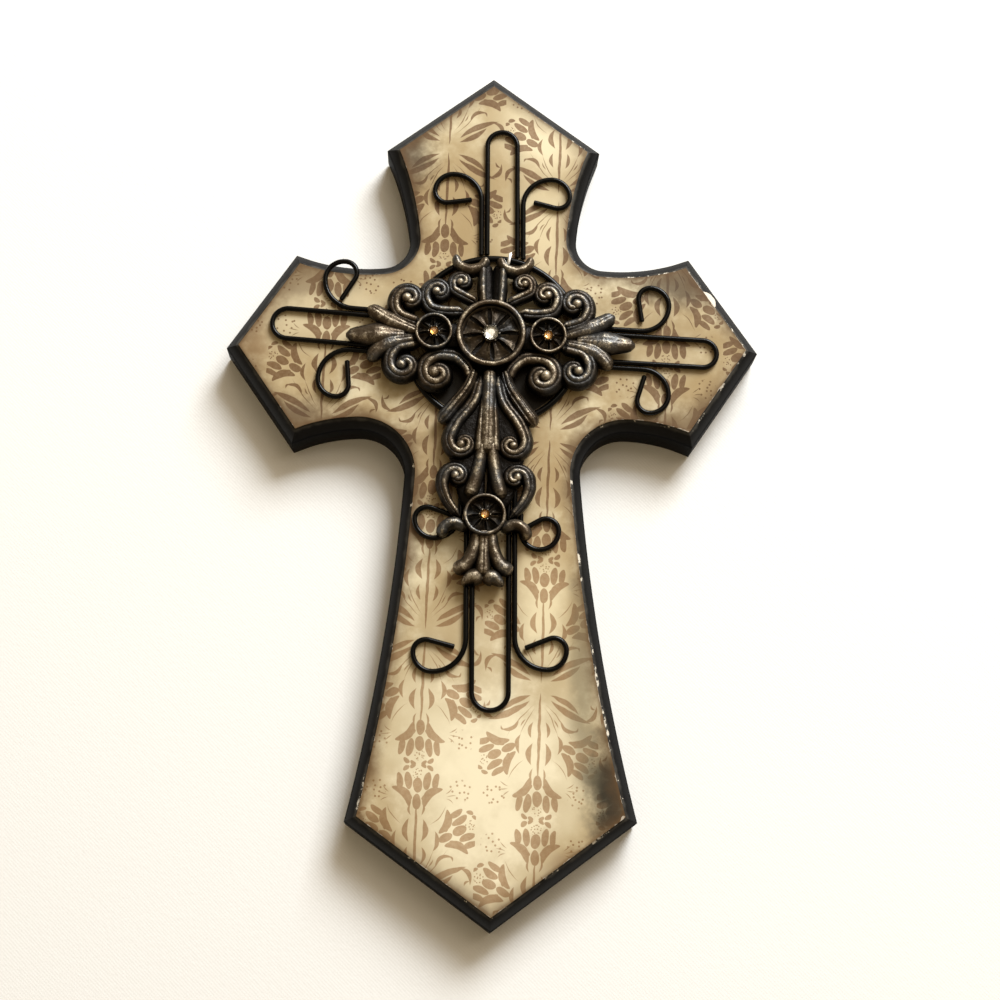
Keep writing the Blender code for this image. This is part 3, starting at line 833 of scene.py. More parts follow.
@dataclass
class Board:
    """The cross-shaped board and the print on its face."""

    top_reach: float = 0.1039
    foot_reach: float = 0.2011
    side_reach: float = 0.0938
    top_end: float = 0.0384
    side_end: float = 0.0349
    foot_end: float = 0.0491
    top_point: float = 0.0285
    side_point: float = 0.0238
    foot_point: float = 0.0361
    top_neck: float = 0.0297
    stem_neck: float = 0.0306
    arm_above: float = 0.0304
    arm_below: float = 0.0295
    upper_fillet: float = 0.0100
    lower_fillet: float = 0.0160
    top_lean: float = math.radians(5.4)
    above_lean: float = math.radians(-5.5)
    below_lean: float = math.radians(1.5)
    stem_lean: float = math.radians(4.0)
    thickness: float = 0.016
    chamfer: float = 0.0035
    print_margin: float = 0.0003
    print_lift: float = 0.00002
    print_front: float = 0.0167
    edge_radius: float = 0.0005
    grid: float = 0.003
    last_step: float = 0.006
    level_slack: float = 0.000001
    upper_steps: tuple[int, int, int] = (14, 14, 12)
    lower_steps: tuple[int, int, int] = (12, 18, 24)

    def flare(self, centre: Point, radius: float, spoke: float, side: int, corner: Point,
              steps: int) -> list[Point]:
        """Give points of the hollow arc that leaves a fillet smoothly and reaches a corner, itself left out.

        Args:
            centre: The fillet's centre.
            radius: The fillet's radius.
            spoke: The angle at which the arc leaves the fillet.
            side: 1 where the outline goes anticlockwise round the fillet's centre, else -1.
            corner: The corner of the outline that the arc reaches.
            steps: How many points it has. The last step is long, so that the outline can be inset past it.

        Returns:
            The points, with the one on the fillet first.
        """
        start = (centre[0] + radius * math.cos(spoke), centre[1] + radius * math.sin(spoke))
        heading = spoke + side * math.pi / 2
        run, rise = corner[0] - start[0], corner[1] - start[1]
        reach = math.hypot(run, rise)
        lean = math.remainder(math.atan2(rise, run) - heading, math.tau)
        points = []
        for k in range(steps):
            share = lean * (1 - self.last_step / reach) * k / (steps - 1)
            far = reach * math.sin(share) / math.sin(lean)
            way = heading + share
            points.append((start[0] + far * math.cos(way), start[1] + far * math.sin(way)))
        return points

    def half_outline(self) -> list[Point]:
        """Give the outline's right half from the top point down to the foot point."""
        shoulder = self.side_reach - self.side_point
        top_corner = (self.top_end, self.top_reach - self.top_point)
        foot_corner = (self.foot_end, self.foot_point - self.foot_reach)
        upper = (self.top_neck + self.upper_fillet, self.arm_above + self.upper_fillet)
        lower = (self.stem_neck + self.lower_fillet, -self.arm_below - self.lower_fillet)
        top, above = math.pi - self.top_lean, math.pi * 1.5 + self.above_lean
        below, stem = math.pi * 0.5 - self.below_lean, math.pi + self.stem_lean
        upper_corner, lower_corner = (shoulder, self.side_end), (shoulder, -self.side_end)
        before, bend, after = self.upper_steps
        points = [(0.0, self.top_reach), top_corner]
        points += self.flare(upper, self.upper_fillet, top, -1, top_corner, before)[:0:-1]
        points += arc(upper, self.upper_fillet, top, above, bend)
        points += self.flare(upper, self.upper_fillet, above, 1, upper_corner, after)[1:]
        before, bend, after = self.lower_steps
        points += [upper_corner, (self.side_reach, 0.0), lower_corner]
        points += self.flare(lower, self.lower_fillet, below, -1, lower_corner, before)[:0:-1]
        points += arc(lower, self.lower_fillet, below, stem, bend)
        points += self.flare(lower, self.lower_fillet, stem, 1, foot_corner, after)[1:]
        return points + [foot_corner, (0.0, -self.foot_reach)]

    def outline(self, bm: Mesh, level: float) -> Face:
        """Add the whole outline as one face at a level in front of the back."""
        right = self.half_outline()
        left = [(-x, z) for x, z in right[-2:0:-1]]
        face = bm.faces.new([bm.verts.new((x, -level, z)) for x, z in right + left])
        face.normal_update()
        return face

    def body(self, finish: Material) -> None:
        """Make the board: a flat back, square walls, a chamfer and slightly rounded edges."""
        bm = bmesh.new()
        wall = self.thickness - self.chamfer
        front = draw_out(bm, self.outline(bm, 0.0), Matrix.Translation((0.0, -wall, 0.0)))
        bmesh.ops.inset_region(bm, faces=[front], thickness=self.chamfer, use_even_offset=True)
        bmesh.ops.translate(bm, verts=front.verts, vec=(0.0, -self.chamfer, 0.0))
        rim = bm.verts.layers.float.new("rim")
        edges = [edge for edge in bm.edges
                 if abs(edge.verts[0].co.y - edge.verts[1].co.y) < self.level_slack]
        bmesh.ops.bevel(bm, geom=edges, offset=self.edge_radius, offset_type="OFFSET", segments=2,
                        profile=0.5, affect="EDGES", material=-1, clamp_overlap=True)
        for corner in bm.verts:
            corner[rim] = max(0.0, min(1.0, (-corner.co.y - wall) / (self.chamfer - self.edge_radius)))
        Maker.piece("board_painted", bm, [finish], "painted_board", "board", sharp=math.radians(30))

    def face(self, finish: Material) -> None:
        """Make the printed face, with its distance from the edge kept in the mesh."""
        bm = bmesh.new()
        depth = bm.verts.layers.float.new("depth")
        level = self.thickness + self.print_lift
        sheet = self.outline(bm, level)
        bmesh.ops.inset_region(bm, faces=[sheet], thickness=self.chamfer + self.print_margin,
                               use_even_offset=True, use_boundary=True)
        bmesh.ops.delete(bm, geom=[item for item in bm.faces if item is not sheet], context="FACES")
        rim = [(edge.verts[0].co.copy(), edge.verts[1].co.copy()) for edge in sheet.edges]
        self.cut_grid(bm)
        for corner in bm.verts:
            corner[depth] = min(self.off_line(corner.co, a, b) for a, b in rim) / MM
        grown = bmesh.ops.extrude_face_region(bm, geom=bm.faces[:])
        moved = [item for item in grown["geom"] if isinstance(item, Corner)]
        bmesh.ops.translate(bm, verts=moved, vec=(0.0, level - self.print_front, 0.0))
        Maker.piece("print_varnished", bm, [finish], "printed_paper", "printed_paper", sharp=math.radians(40))

    def cut_grid(self, bm: Mesh) -> None:
        """Cut a flat sheet into small squares."""
        across = round(self.side_reach / self.grid)
        for k in range(-across, across + 1):
            slit(bm, (k * self.grid, 0), (1, 0))
        for k in range(round(-self.foot_reach / self.grid), round(self.top_reach / self.grid) + 1):
            slit(bm, (0, k * self.grid), (0, 1))

    @staticmethod
    def off_line(spot: Vector, start: Vector, end: Vector) -> float:
        """Measure how far a point is from a piece of a line."""
        near, share = intersect_point_line(spot, start, end)
        near = start if share < 0 else end if share > 1 else near
        return (spot - near).length

    def build(self, paints: Paints) -> None:
        """Make the board and its print."""
        self.body(paints.board)
        self.face(paints.print)


@dataclass(frozen=True)
class Curl:
    """One curl: its reach from the ring's centre, its sweep's radius, its tail and the tail's turn."""

    reach: float
    sweep: float
    tail: float
    turn: float


@dataclass
class Arm:
    """One arm of the frame: which way it points, and its hairpin and two curls."""

    name: str
    degrees: float
    reach: float
    width: float
    shift: float
    left_curl: Curl
    right_curl: Curl

    @property
    def curls(self) -> tuple[Curl, Curl]:
        """Both curls, the one on the left of the heading first."""
        return self.left_curl, self.right_curl


@dataclass
class WireFrame:
    """The ring behind the ornament, the hairpins along the arms and the curls beside them."""

    back: float = 0.0170
    wire: float = 0.0018
    ring_wire: float = 0.0023
    ring_radius: float = 0.0304
    ring_height: float = 0.0019
    gap: float = 0.0003
    loop_radius: float = 0.0066
    end_radius: float = 0.0043
    hidden_leg: float = 0.0072
    sides: int = 14
    ring_steps: int = 120
    run_step: float = 0.012
    bend_step: float = math.radians(8)
    end_ease: float = 0.3
    end_share: float = 0.72
    arms: tuple[Arm, ...] = (
        Arm("top", 90.0, 0.0797, 0.0107, -0.0031,
            Curl(0.0634, 0.0100, 0.0083, 8.0), Curl(0.0617, 0.0101, 0.0078, 15.0)),
        Arm("left", 175.5, 0.0786, 0.0110, 0.0,
            Curl(0.0607, 0.0109, 0.0085, 9.0), Curl(0.0618, 0.0105, 0.0091, 27.0)),
        Arm("right", -3.0, 0.0796, 0.0099, 0.0,
            Curl(0.0622, 0.0096, 0.0078, 11.0), Curl(0.0632, 0.0091, 0.0083, 15.0)),
        Arm("foot", -90.0, 0.1310, 0.0124, -0.0006,
            Curl(0.1171, 0.0110, 0.0088, 22.0), Curl(0.1179, 0.0112, 0.0089, 15.0)),
    )
    mid_curls: tuple[Curl, Curl] = (Curl(0.0756, 0.0064, 0.0060, 29.0), Curl(0.0718, 0.0091, 0.0083, 20.0))

    def arm_point(self, heading: float, along: float, left: float) -> Point:
        """Give the point at a distance along an arm and to the left of it."""
        cosine, sine = math.cos(heading), math.sin(heading)
        return along * cosine - left * sine, self.ring_height + along * sine + left * cosine

    def ring_edge(self, left: float) -> float:
        """Tell how far along an arm a wire this far aside meets the ring."""
        near = max(abs(left) - self.wire / 2, 0.0)
        return math.sqrt((self.ring_radius + self.ring_wire / 2 + self.gap) ** 2 - near**2)

    def walk(self, start: Point, heading: float, moves: Sequence[Point]) -> list[tuple[float, float, float]]:
        """Follow straight runs and arcs.

        Args:
            start: Where the wire starts.
            heading: Its first direction.
            moves: A length and 0 for a run, or a radius and a turn for an arc, left turns positive.

        Returns:
            Points with the heading at each.
        """
        x, z = start
        path = [(x, z, heading)]
        for size, turn in moves:
            if turn == 0:
                steps = max(1, round(size / self.run_step))
                for k in range(1, steps + 1):
                    gone = size * k / steps
                    path.append((x + gone * math.cos(heading), z + gone * math.sin(heading), heading))
                x, z = path[-1][:2]
                continue
            side = heading + math.copysign(math.pi / 2, turn)
            centre = (x + size * math.cos(side), z + size * math.sin(side))
            steps = max(4, round(abs(turn) / self.bend_step))
            bend = arc(centre, size, side + math.pi, side + math.pi + turn, steps)
            path += [(a, b, heading + turn * (k + 1) / steps) for k, (a, b) in enumerate(bend[1:])]
            x, z = bend[-1]
            heading += turn
        return path

    def wire_piece(self, node: str, path: Sequence[tuple[float, float, float]], finish: Material) -> None:
        """Bend one round wire with eased ends along a path and let it stand for its node."""
        radius = self.wire / 2
        level = self.back + radius
        stations = [Station(Vector((x, -level, z)), heading, radius, radius) for x, z, heading in path]
        ease = self.end_ease * radius
        for end, inner in ((0, 1), (-1, -2)):
            first, second = stations[end], stations[inner]
            run = (second.spot - first.spot).normalized() * ease
            eased = Station(first.spot, first.heading, radius * self.end_share, radius * self.end_share)
            full = Station(first.spot + run, first.heading, radius, radius)
            stations[end] = full
            stations.insert(0 if end == 0 else len(stations), eased)
        bm = bmesh.new()
        bmesh.ops.create_circle(bm, cap_ends=True, radius=1.0, segments=self.sides)
        bm.faces.ensure_lookup_table()
        sweep(bm, bm.faces[0], [station.matrix() for station in stations])
        Maker.piece(node + "_wire", bm, [finish], "wire", node, sharp=math.radians(50))

    def ring(self, finish: Material) -> None:
        """Make the ring."""
        bm = bmesh.new()
        radius = self.ring_wire / 2
        around = arc((self.ring_radius, self.back + radius), radius, 0.0, math.tau, self.sides + 2)[:-1]
        turn_round(bm, Vector((0.0, 0.0, self.ring_height)), around, self.ring_steps)
        Maker.piece("ring_wire", bm, [finish], "wire", "wire_ring")

    def curl(self, node: str, heading: float, start: float | None, left: float, curl: Curl,
             finish: Material) -> None:
        """Make a wire that sweeps away from its hairpin and curls back in an open loop.

        Args:
            node: The node that the wire stands for.
            heading: Which way its arm points, in radians.
            start: How far along the arm it starts, or None for a short hidden leg.
            left: How far it runs to the left of the arm's line.
            curl: Its bends.
            finish: What it is painted with.
        """
        side = math.copysign(1, left)
        bend = curl.reach - self.wire / 2 - curl.sweep
        if start is None:
            start = bend + self.wire / 2 - self.hidden_leg
        moves = [(bend - start, 0), (curl.sweep, side * math.pi / 2), (self.loop_radius, side * math.pi / 2),
                 (self.end_radius, side * (math.pi / 2 + math.radians(curl.turn))), (curl.tail, 0)]
        self.wire_piece(node, self.walk(self.arm_point(heading, start, left), heading, moves), finish)

    def hairpin(self, node: str, heading: float, reach: float, width: float, shift: float,
                finish: Material) -> None:
        """Make a loop that leaves the ring, turns round and comes back to it."""
        radius = width / 2
        bend = reach - self.wire / 2 - radius
        start, end = self.ring_edge(shift - radius), self.ring_edge(shift + radius)
        moves = [(bend - start, 0), (radius, math.pi), (bend - end, 0)]
        path = self.walk(self.arm_point(heading, start, shift - radius), heading, moves)
        self.wire_piece(node, path, finish)

    def build(self, paints: Paints) -> None:
        """Make every wire."""
        self.ring(paints.wire)
        pitch = self.wire + self.gap
        for arm in self.arms:
            heading = math.radians(arm.degrees)
            self.hairpin("hairpin_" + arm.name, heading, arm.reach, arm.width, arm.shift, paints.wire)
            for word, side, bends in zip("ab", (1, -1), arm.curls):
                left = arm.shift + side * (arm.width / 2 + pitch)
                self.curl(f"curl_{arm.name}_{word}", heading, self.ring_edge(left), left, bends, paints.wire)
        for word, side, bends in zip("ab", (1, -1), self.mid_curls):
            left = arm.shift + side * (arm.width / 2 + 2 * pitch)
            self.curl("curl_mid_" + word, heading, None, left, bends, paints.wire)


@dataclass
class Staple:
    """The bright staple across the ring's wire."""

    ring: WireFrame
    wire: float = 0.0007
    width: float = 0.0011
    angle: float = math.radians(79.5)
    edge_radius: float = 0.00014

    def build(self, paints: Paints) -> None:
        """Make the staple with eased edges."""
        inner = self.ring.ring_wire / 2 + self.ring.gap
        outer = inner + self.wire
        bottom = self.ring.back
        under = self.ring.back + self.ring.ring_wire + self.ring.gap
        top = under + self.wire
        section = [(-outer, bottom), (-inner, bottom), (-inner, under), (inner, under), (inner, bottom),
                   (outer, bottom), (outer, top), (-outer, top)]
        radial = Vector((math.cos(self.angle), 0.0, math.sin(self.angle)))
        middle = radial * self.ring.ring_radius + Vector((0.0, 0.0, self.ring.ring_height))
        across = Vector((-radial.z, 0.0, radial.x)) * self.width
        bm = bmesh.new()
        side = bm.faces.new([bm.verts.new(middle + radial * r + Vector((0.0, -level, 0.0)) - across / 2)
                             for r, level in section])
        draw_out(bm, side, Matrix.Translation(across))
        bmesh.ops.bevel(bm, geom=bm.edges[:], offset=self.edge_radius, offset_type="OFFSET", segments=2,
                        profile=0.5, affect="EDGES", material=-1, clamp_overlap=True)
        Maker.piece("staple_bright", bm, [paints.steel], "staple", "staple")


class Carving(Enum):
    """How a strand of the ornament is carved across its width."""

    ROUND = "round"
    ROLLED = "rolled"
    RIBBED = "ribbed"
    LEAF = "leaf"
    CUPPED = "cupped"
    WEB = "web"

    def fullness(self) -> float:
        """Tell how much wider the finished strand is than its drawn width."""
        return {Carving.ROLLED: 1.42, Carving.LEAF: 1.42, Carving.WEB: 1.0}.get(self, 1.16)

    def cut(self, x: float) -> tuple[float, float]:
        """Read the carving at a place across the strand.

        Args:
            x: From -1 at the outer edge to 1 at the edge that a spiral turns to.

        Returns:
            The level as a share of the strand's height, and how much the place stands out for rubbing.
        """
        dome = math.sqrt(max(0.0, 1.0 - x * x))
        if self is Carving.ROLLED:
            ridge, inner, outer = 0.34, 0.66, 1.34
            deep, middle, wide = 0.16, -0.18, 0.15
            off = (x - ridge) / (inner if x > ridge else outer)
            crest = math.sqrt(max(0.0, 1.0 - off * off))
            groove = deep * math.exp(-((x - middle) / wide) ** 2)
            relief = crest ** 1.6 - groove * 2.8 - max(0.0, -x) * 0.2
            return 0.16 + 0.84 * crest * (1.0 - groove), max(0.0, relief)
        grooves = {
            Carving.RIBBED: ((0.38, 0.12, 0.20), (-0.38, 0.12, 0.20)),
            Carving.LEAF: ((0.12, 0.09, 0.10),),
        }.get(self, ())
        if self is Carving.CUPPED:
            rise = abs(x) ** 1.6
            return (0.78 + 0.22 * rise) * min(1.0, dome * 2.2), (0.55 + 0.55 * rise) * min(1.0, dome * 2.6)
        groove = sum(deep * math.exp(-((x - middle) / wide) ** 2) for middle, wide, deep in grooves)
        level = 0.18 + 0.82 * dome * (1.0 - groove)
        relief = 0.0 if self is Carving.WEB else max(0.0, dome - groove * 2.4)
        return level, relief


@dataclass(frozen=True)
class Strand:
    """One strand of the ornament's right side, in shares of its height."""

    carving: Carving
    stem: tuple[Point, ...]
    widths: tuple[float, float, float]
    heights: tuple[float, float, float]
    spiral: tuple[Point, float, float, float, float] | None = None

    def path(self) -> list[Vector]:
        """Give the smooth path of the stem and the spiral it ends in."""
        points = [Vector(point) for point in self.stem]
        if self.spiral:
            centre, outer, inner, start, turn = self.spiral
            steps = max(6, round(abs(turn) / 24))
            for k in range(steps + 1):
                radius = outer * (inner / outer) ** (k / steps)
                angle = math.radians(start + turn * k / steps)
                points.append(Vector(centre) + radius * Vector((math.cos(angle), math.sin(angle))))
        ends = [2 * points[0] - points[1]] + points + [2 * points[-1] - points[-2]]
        steps = 3 if self.spiral else 8
        smooth = []
        for a, b, c, d in zip(ends, ends[1:], ends[2:], ends[3:]):
            for k in range(steps):
                t = k / steps
                smooth.append(0.5 * (2 * b + (c - a) * t + (2 * a - 5 * b + 4 * c - d) * t * t
                                     + (3 * b - a - 3 * c + d) * t**3))
        return smooth + [points[-1]]


@dataclass(frozen=True)
class Rosette:
    """One round cup of the ornament with its stone, in shares of the ornament's height."""

    name: str
    centre: Point
    radius: float
    stone: float


@dataclass
class Ornament:
    """The cast ornament in front of the wires, with its stones."""

    height: float = 0.1198
    units_high: float = 119.8
    centre: Point = (-0.0009, 0.0025)
    turn: float = math.radians(-1.6)
    back: float = 0.0196
    sides: int = 20
    petals: int = 8
    seat: float = 4.8
    stone_lift: float = 0.6
    level_slack: float = 0.0001
    stone_sides: int = 10
    stone_rows: tuple[tuple[float, float, float], ...] = (
        (0.35, 0.00, 0.0), (1.00, 0.25, 0.0), (1.00, 0.33, 0.0), (0.80, 0.58, 0.5), (0.52, 0.80, 1.0),
    )
    petal_rows: tuple[tuple[float, float, float], ...] = (
        (0.20, 0.12, 5.3), (0.30, 0.17, 5.4), (0.42, 0.24, 5.2), (0.54, 0.33, 4.9), (0.64, 0.43, 4.5),
        (0.72, 0.53, 4.1), (0.82, 0.62, 3.7),
    )
    petal_turn: float = 0.62
    prongs: int = 6
    prong_size: float = 0.42
    rim_level: float = 5.9
    rim_roll: float = 0.95
    cup_floor: float = 2.6
    collar_gap: float = 0.15
    rim_steps: int = 72
    floor_steps: int = 48
    collar_steps: int = 36
    least_end: float = 0.10
    bead_share: float = 0.62
    strands: tuple[Strand, ...] = (
        Strand(Carving.ROLLED, ((5.5, 12.0), (8.6, 13.6)), (2.8, 3.0, 2.4), (4.0, 4.0, 4.4),
               ((10.5, 19.3), 4.3, 0.9, -50, 400)),
        Strand(Carving.ROLLED, ((9.6, 8.6), (15.5, 8.2)), (3.2, 3.6, 2.8), (4.0, 4.2, 4.8),
               ((18.5, 15.2), 6.6, 1.0, -70, 430)),
        Strand(Carving.ROLLED, ((24.5, 3.6), (30.0, 5.4)), (3.2, 3.8, 3.0), (4.0, 4.2, 5.0),
               ((28.6, 12.3), 6.8, 1.2, -55, 420)),
        Strand(Carving.ROLLED, ((24.5, -3.0), (31.0, -4.4)), (3.2, 3.9, 3.0), (4.0, 4.2, 5.0),
               ((29.5, -11.8), 7.2, 1.3, 62, -430)),
        Strand(Carving.ROLLED, ((6.4, -16.0), (7.6, -11.8), (11.4, -8.2)), (3.4, 4.3, 3.6), (4.4, 4.4, 5.2),
               ((18.0, -14.6), 7.6, 1.5, 112, -460)),
        Strand(Carving.LEAF, ((25.0, 0.6), (35.0, 4.3), (43.2, 9.2)), (2.4, 4.8, 3.4), (3.6, 4.4, 3.6)),
        Strand(Carving.LEAF, ((29.0, -0.5), (39.0, -0.9), (50.6, -1.1)), (2.6, 6.4, 3.0), (3.4, 5.0, 2.6)),
        Strand(Carving.LEAF, ((26.0, -1.6), (36.5, -4.4), (42.4, -10.0)), (2.4, 5.0, 3.4), (3.6, 4.4, 3.6)),
        Strand(Carving.ROUND, ((2.9, 10.5), (3.4, 18.5), (3.5, 25.6)), (2.6, 3.1, 3.0), (4.6, 4.6, 4.8)),
        Strand(Carving.ROUND, ((2.4, 28.8), (3.8, 25.4), (8.2, 23.9), (12.0, 25.8), (13.5, 29.6)),
               (3.2, 4.0, 2.4), (5.0, 5.2, 4.2)),
        Strand(Carving.RIBBED, ((5.2, -12.5), (7.4, -19.0), (12.0, -25.6), (16.6, -31.6)),
               (3.4, 4.2, 5.0), (4.8, 5.0, 4.6)),
        Strand(Carving.ROLLED, ((3.2, -15.0), (5.4, -24.0), (10.6, -31.0)), (3.2, 3.8, 2.6), (4.8, 5.0, 5.0),
               ((8.2, -39.3), 5.7, 1.0, 28, -420)),
        Strand(Carving.ROLLED, ((8.6, -65.0), (12.8, -60.0), (14.9, -55.0)), (2.0, 3.6, 2.6), (3.4, 4.4, 4.6),
               ((9.9, -51.2), 5.2, 0.9, -14, 400)),
        Strand(Carving.ROUND, ((1.8, -22.0), (2.6, -32.0), (2.9, -43.0)), (1.6, 2.6, 3.4), (4.6, 5.2, 5.4)),
        Strand(Carving.ROUND, ((0.5, -12.0), (0.5, -28.0), (0.6, -43.5)), (3.2, 4.6, 5.4), (5.6, 6.1, 5.8)),
        Strand(Carving.ROUND, ((1.4, -38.0), (3.0, -49.0), (5.7, -58.6)), (3.6, 4.4, 4.8), (5.6, 5.2, 5.0)),
        Strand(Carving.ROUND, ((5.6, -69.0), (10.4, -67.2), (13.8, -69.0), (14.6, -72.2)),
               (3.4, 3.6, 3.8), (4.2, 5.0, 4.8)),
        Strand(Carving.ROUND, ((2.2, -69.6), (3.6, -77.0), (6.4, -82.0), (10.2, -82.6)),
               (3.4, 4.2, 5.0), (4.4, 4.8, 4.6)),
        Strand(Carving.ROUND, ((0.0, -86.4), (3.6, -85.8), (7.0, -88.4)), (6.4, 4.6, 1.8), (5.2, 5.0, 4.0)),
        Strand(Carving.ROUND, ((0.4, -69.0), (0.5, -78.0), (0.7, -85.6)), (4.4, 2.8, 4.4), (4.4, 4.8, 5.0)),
        Strand(Carving.WEB, ((2.5, -13.0), (3.2, -24.0), (7.0, -36.0), (5.8, -50.0), (4.0, -62.0)),
               (8.0, 14.0, 8.0), (1.8, 2.2, 1.8)),
        Strand(Carving.WEB, ((8.0, 0.0), (20.0, 0.0), (32.0, -0.6)), (9.0, 10.0, 6.0), (2.4, 2.4, 2.2)),
        Strand(Carving.WEB, ((2.0, 9.0), (2.4, 18.0), (2.6, 27.0)), (6.0, 6.0, 5.0), (3.2, 3.2, 3.2)),
    )
    rosettes: tuple[Rosette, ...] = (
        Rosette("clear", (0.0, 0.0), 12.2, 5.4),
        Rosette("amber_left", (-19.9, 0.0), 6.5, 3.2),
        Rosette("amber_right", (19.9, 0.0), 6.5, 3.2),
        Rosette("amber_foot", (0.0, -64.7), 7.2, 3.2),
    )

    def placing(self) -> Matrix:
        """Give the matrix from the ornament's own drawing to the frame."""
        size = self.height / self.units_high
        return (Matrix.Translation((self.centre[0], -self.back, self.centre[1]))
                @ Matrix.Rotation(-self.turn, 4, "Y") @ Matrix.Scale(size, 4))

    @staticmethod
    def along(values: tuple[float, float, float], share: float) -> float:
        """Read start, middle and end values at a share of the way."""
        a, b, c = values
        return a + (b - a) * share * 2 if share < 0.5 else b + (c - b) * (share - 0.5) * 2

    def section(self, bm: Mesh, carving: Carving, side: int = 1) -> Face:
        """Draw a strand's section round the origin, with its relief kept in the mesh.

        Args:
            bm: The mesh.
            carving: How it is carved.
            side: 1 for a strand that turns left and -1 for one that turns right.

        Returns:
            The section's face.
        """
        relief = bm.verts.layers.float["relief"]
        corners = []
        for j in range(self.sides + 1):
            x = math.cos(math.pi * j / self.sides)
            level, stand = carving.cut(x * side)
            corner = bm.verts.new((x, level, 0.0))
            corner[relief] = stand
            corners.append(corner)
        corners += [bm.verts.new((-0.96, 0.0, 0.0)), bm.verts.new((0.96, 0.0, 0.0))]
        return bm.faces.new(corners)

    def strand(self, bm: Mesh, strand: Strand) -> None:
        """Sweep one strand, with rounded ends, and set a bead in its spiral's eye."""
        path = strand.path()
        count = len(path) - 1
        travelled = [0.0]
        for before, after in pairwise(path):
            travelled.append(travelled[-1] + (after - before).length)
        total = travelled[-1]
        places = []
        for k, spot in enumerate(path):
            share = travelled[k] / total
            run = path[min(k + 1, count)] - path[max(k - 1, 0)]
            half = self.along(strand.widths, share) * strand.carving.fullness() / 2
            near = min(travelled[k], total - travelled[k])
            ease = math.sqrt(max(self.least_end, 1.0 - max(0.0, 1.0 - near / half) ** 2))
            high = self.along(strand.heights, share) * (0.35 + 0.65 * ease)
            heading = math.atan2(run.y, run.x)
            places.append(Station(Vector((spot.x, 0.0, spot.y)), heading, half * ease, high).matrix())
        part = bmesh.new()
        part.verts.layers.float.new("relief")
        side = -1 if strand.spiral and strand.spiral[4] < 0 else 1
        sweep(part, self.section(part, strand.carving, side), places)
        if strand.spiral:
            eye = Vector((path[-1].x, 0.0, path[-1].y))
            self.bead(part, eye, strand.widths[2] * self.bead_share, strand.heights[2])
        self.pour(part, bm)

    @staticmethod
    def bead(bm: Mesh, foot: Vector, radius: float, level: float) -> None:
        """Add a bead whose front stands a little over this level."""
        relief = bm.verts.layers.float["relief"]
        spot = Matrix.Translation(foot + Vector((0.0, -level + radius * 0.75, 0.0)))
        ball = bmesh.ops.create_icosphere(bm, subdivisions=3, radius=radius, matrix=spot)
        for corner in ball["verts"]:
            corner[relief] = max(0.0, (-corner.co.y - level + radius) / radius)

    @staticmethod
    def pour(part: Mesh, bm: Mesh) -> None:
        """Move a finished part into the casting's mesh."""
        mesh = bpy.data.meshes.new("part")
        part.to_mesh(mesh)
        part.free()
        bm.from_mesh(mesh)
        bpy.data.meshes.remove(mesh)

    @staticmethod
    def rim(bm: Mesh, centre: Vector, profile: Sequence[Point], steps: int, bright: float) -> None:
        """Turn a ring of the rosette, its relief growing with the level."""
        relief = bm.verts.layers.float["relief"]
        highest = max(level for _, level in profile)
        for corner in turn_round(bm, centre, profile, steps):
            corner[relief] = max(0.0, 1.0 - (highest + corner.co.y) / 1.2) * bright

    def rosette(self, bm: Mesh, rosette: Rosette) -> None:
        """Make a cup with a rolled rim, an inner ring, hollow petals and a stone's collar."""
        radius = rosette.radius
        thin = radius / self.rosettes[0].radius
        centre = Vector((rosette.centre[0], 0.0, rosette.centre[1]))
        part = bmesh.new()
        part.verts.layers.float.new("relief")
        roll = self.rim_roll * max(thin, 0.55)
        self.rim(part, centre, [(radius * 0.92, 0.0), (radius, 1.2)]
                 + arc((radius - roll, self.rim_level), roll, 0.0, math.pi, 8)
                 + [(radius - 2 * roll, 3.2), (radius - 2 * roll, 0.0)], self.rim_steps, 1.0)
        inside = radius - 2 * roll + 0.1
        self.rim(part, centre, [(radius * 0.02, 0.2), (inside, 0.2), (inside, 3.3),
                                (radius * 0.3, self.cup_floor), (radius * 0.02, self.cup_floor)],
                 self.floor_steps, 0.1)
        self.rim(part, centre, [(radius * 0.74, 2.8), (radius * 0.78, 3.6), (inside, 4.2), (inside, 2.8)],
                 self.rim_steps, 0.70)
        collar = rosette.stone / 2 + self.collar_gap
        self.rim(part, centre, [(collar - 0.5, 2.0), (collar + 0.55, 2.0), (collar + 0.35, self.seat + 0.3),
                                (collar, self.seat + 0.7), (collar - 0.5, self.seat)], self.collar_steps, 0.8)
        for k in range(self.petals):
            angle = math.tau * (k + self.petal_turn) / self.petals
            way = Vector((math.cos(angle), 0.0, math.sin(angle)))
            places = [Station(centre + way * radius * share, angle, radius * wide / 2, high).matrix()
                      for share, wide, high in self.petal_rows]
            sweep(part, self.section(part, Carving.CUPPED), places)
        for k in range(self.prongs):
            angle = math.tau * k / self.prongs
            way = Vector((math.cos(angle), 0.0, math.sin(angle)))
            self.bead(part, centre + way * (collar + 0.1), self.prong_size * max(thin, 0.7), self.seat + 0.9)
        self.pour(part, bm)

    def casting(self, finish: Material) -> None:
        """Make the whole casting."""
        bm = bmesh.new()
        bm.verts.layers.float.new("relief")
        for strand in self.strands:
            self.strand(bm, strand)
        bmesh.ops.mirror(bm, geom=bm.verts[:] + bm.edges[:] + bm.faces[:], axis="X", merge_dist=0.0)
        for rosette in self.rosettes:
            self.rosette(bm, rosette)
        bmesh.ops.transform(bm, matrix=self.placing(), verts=bm.verts)
        Maker.piece("casting_antiqued", bm, [finish], "casting", "cast_ornament", sharp=math.radians(48))

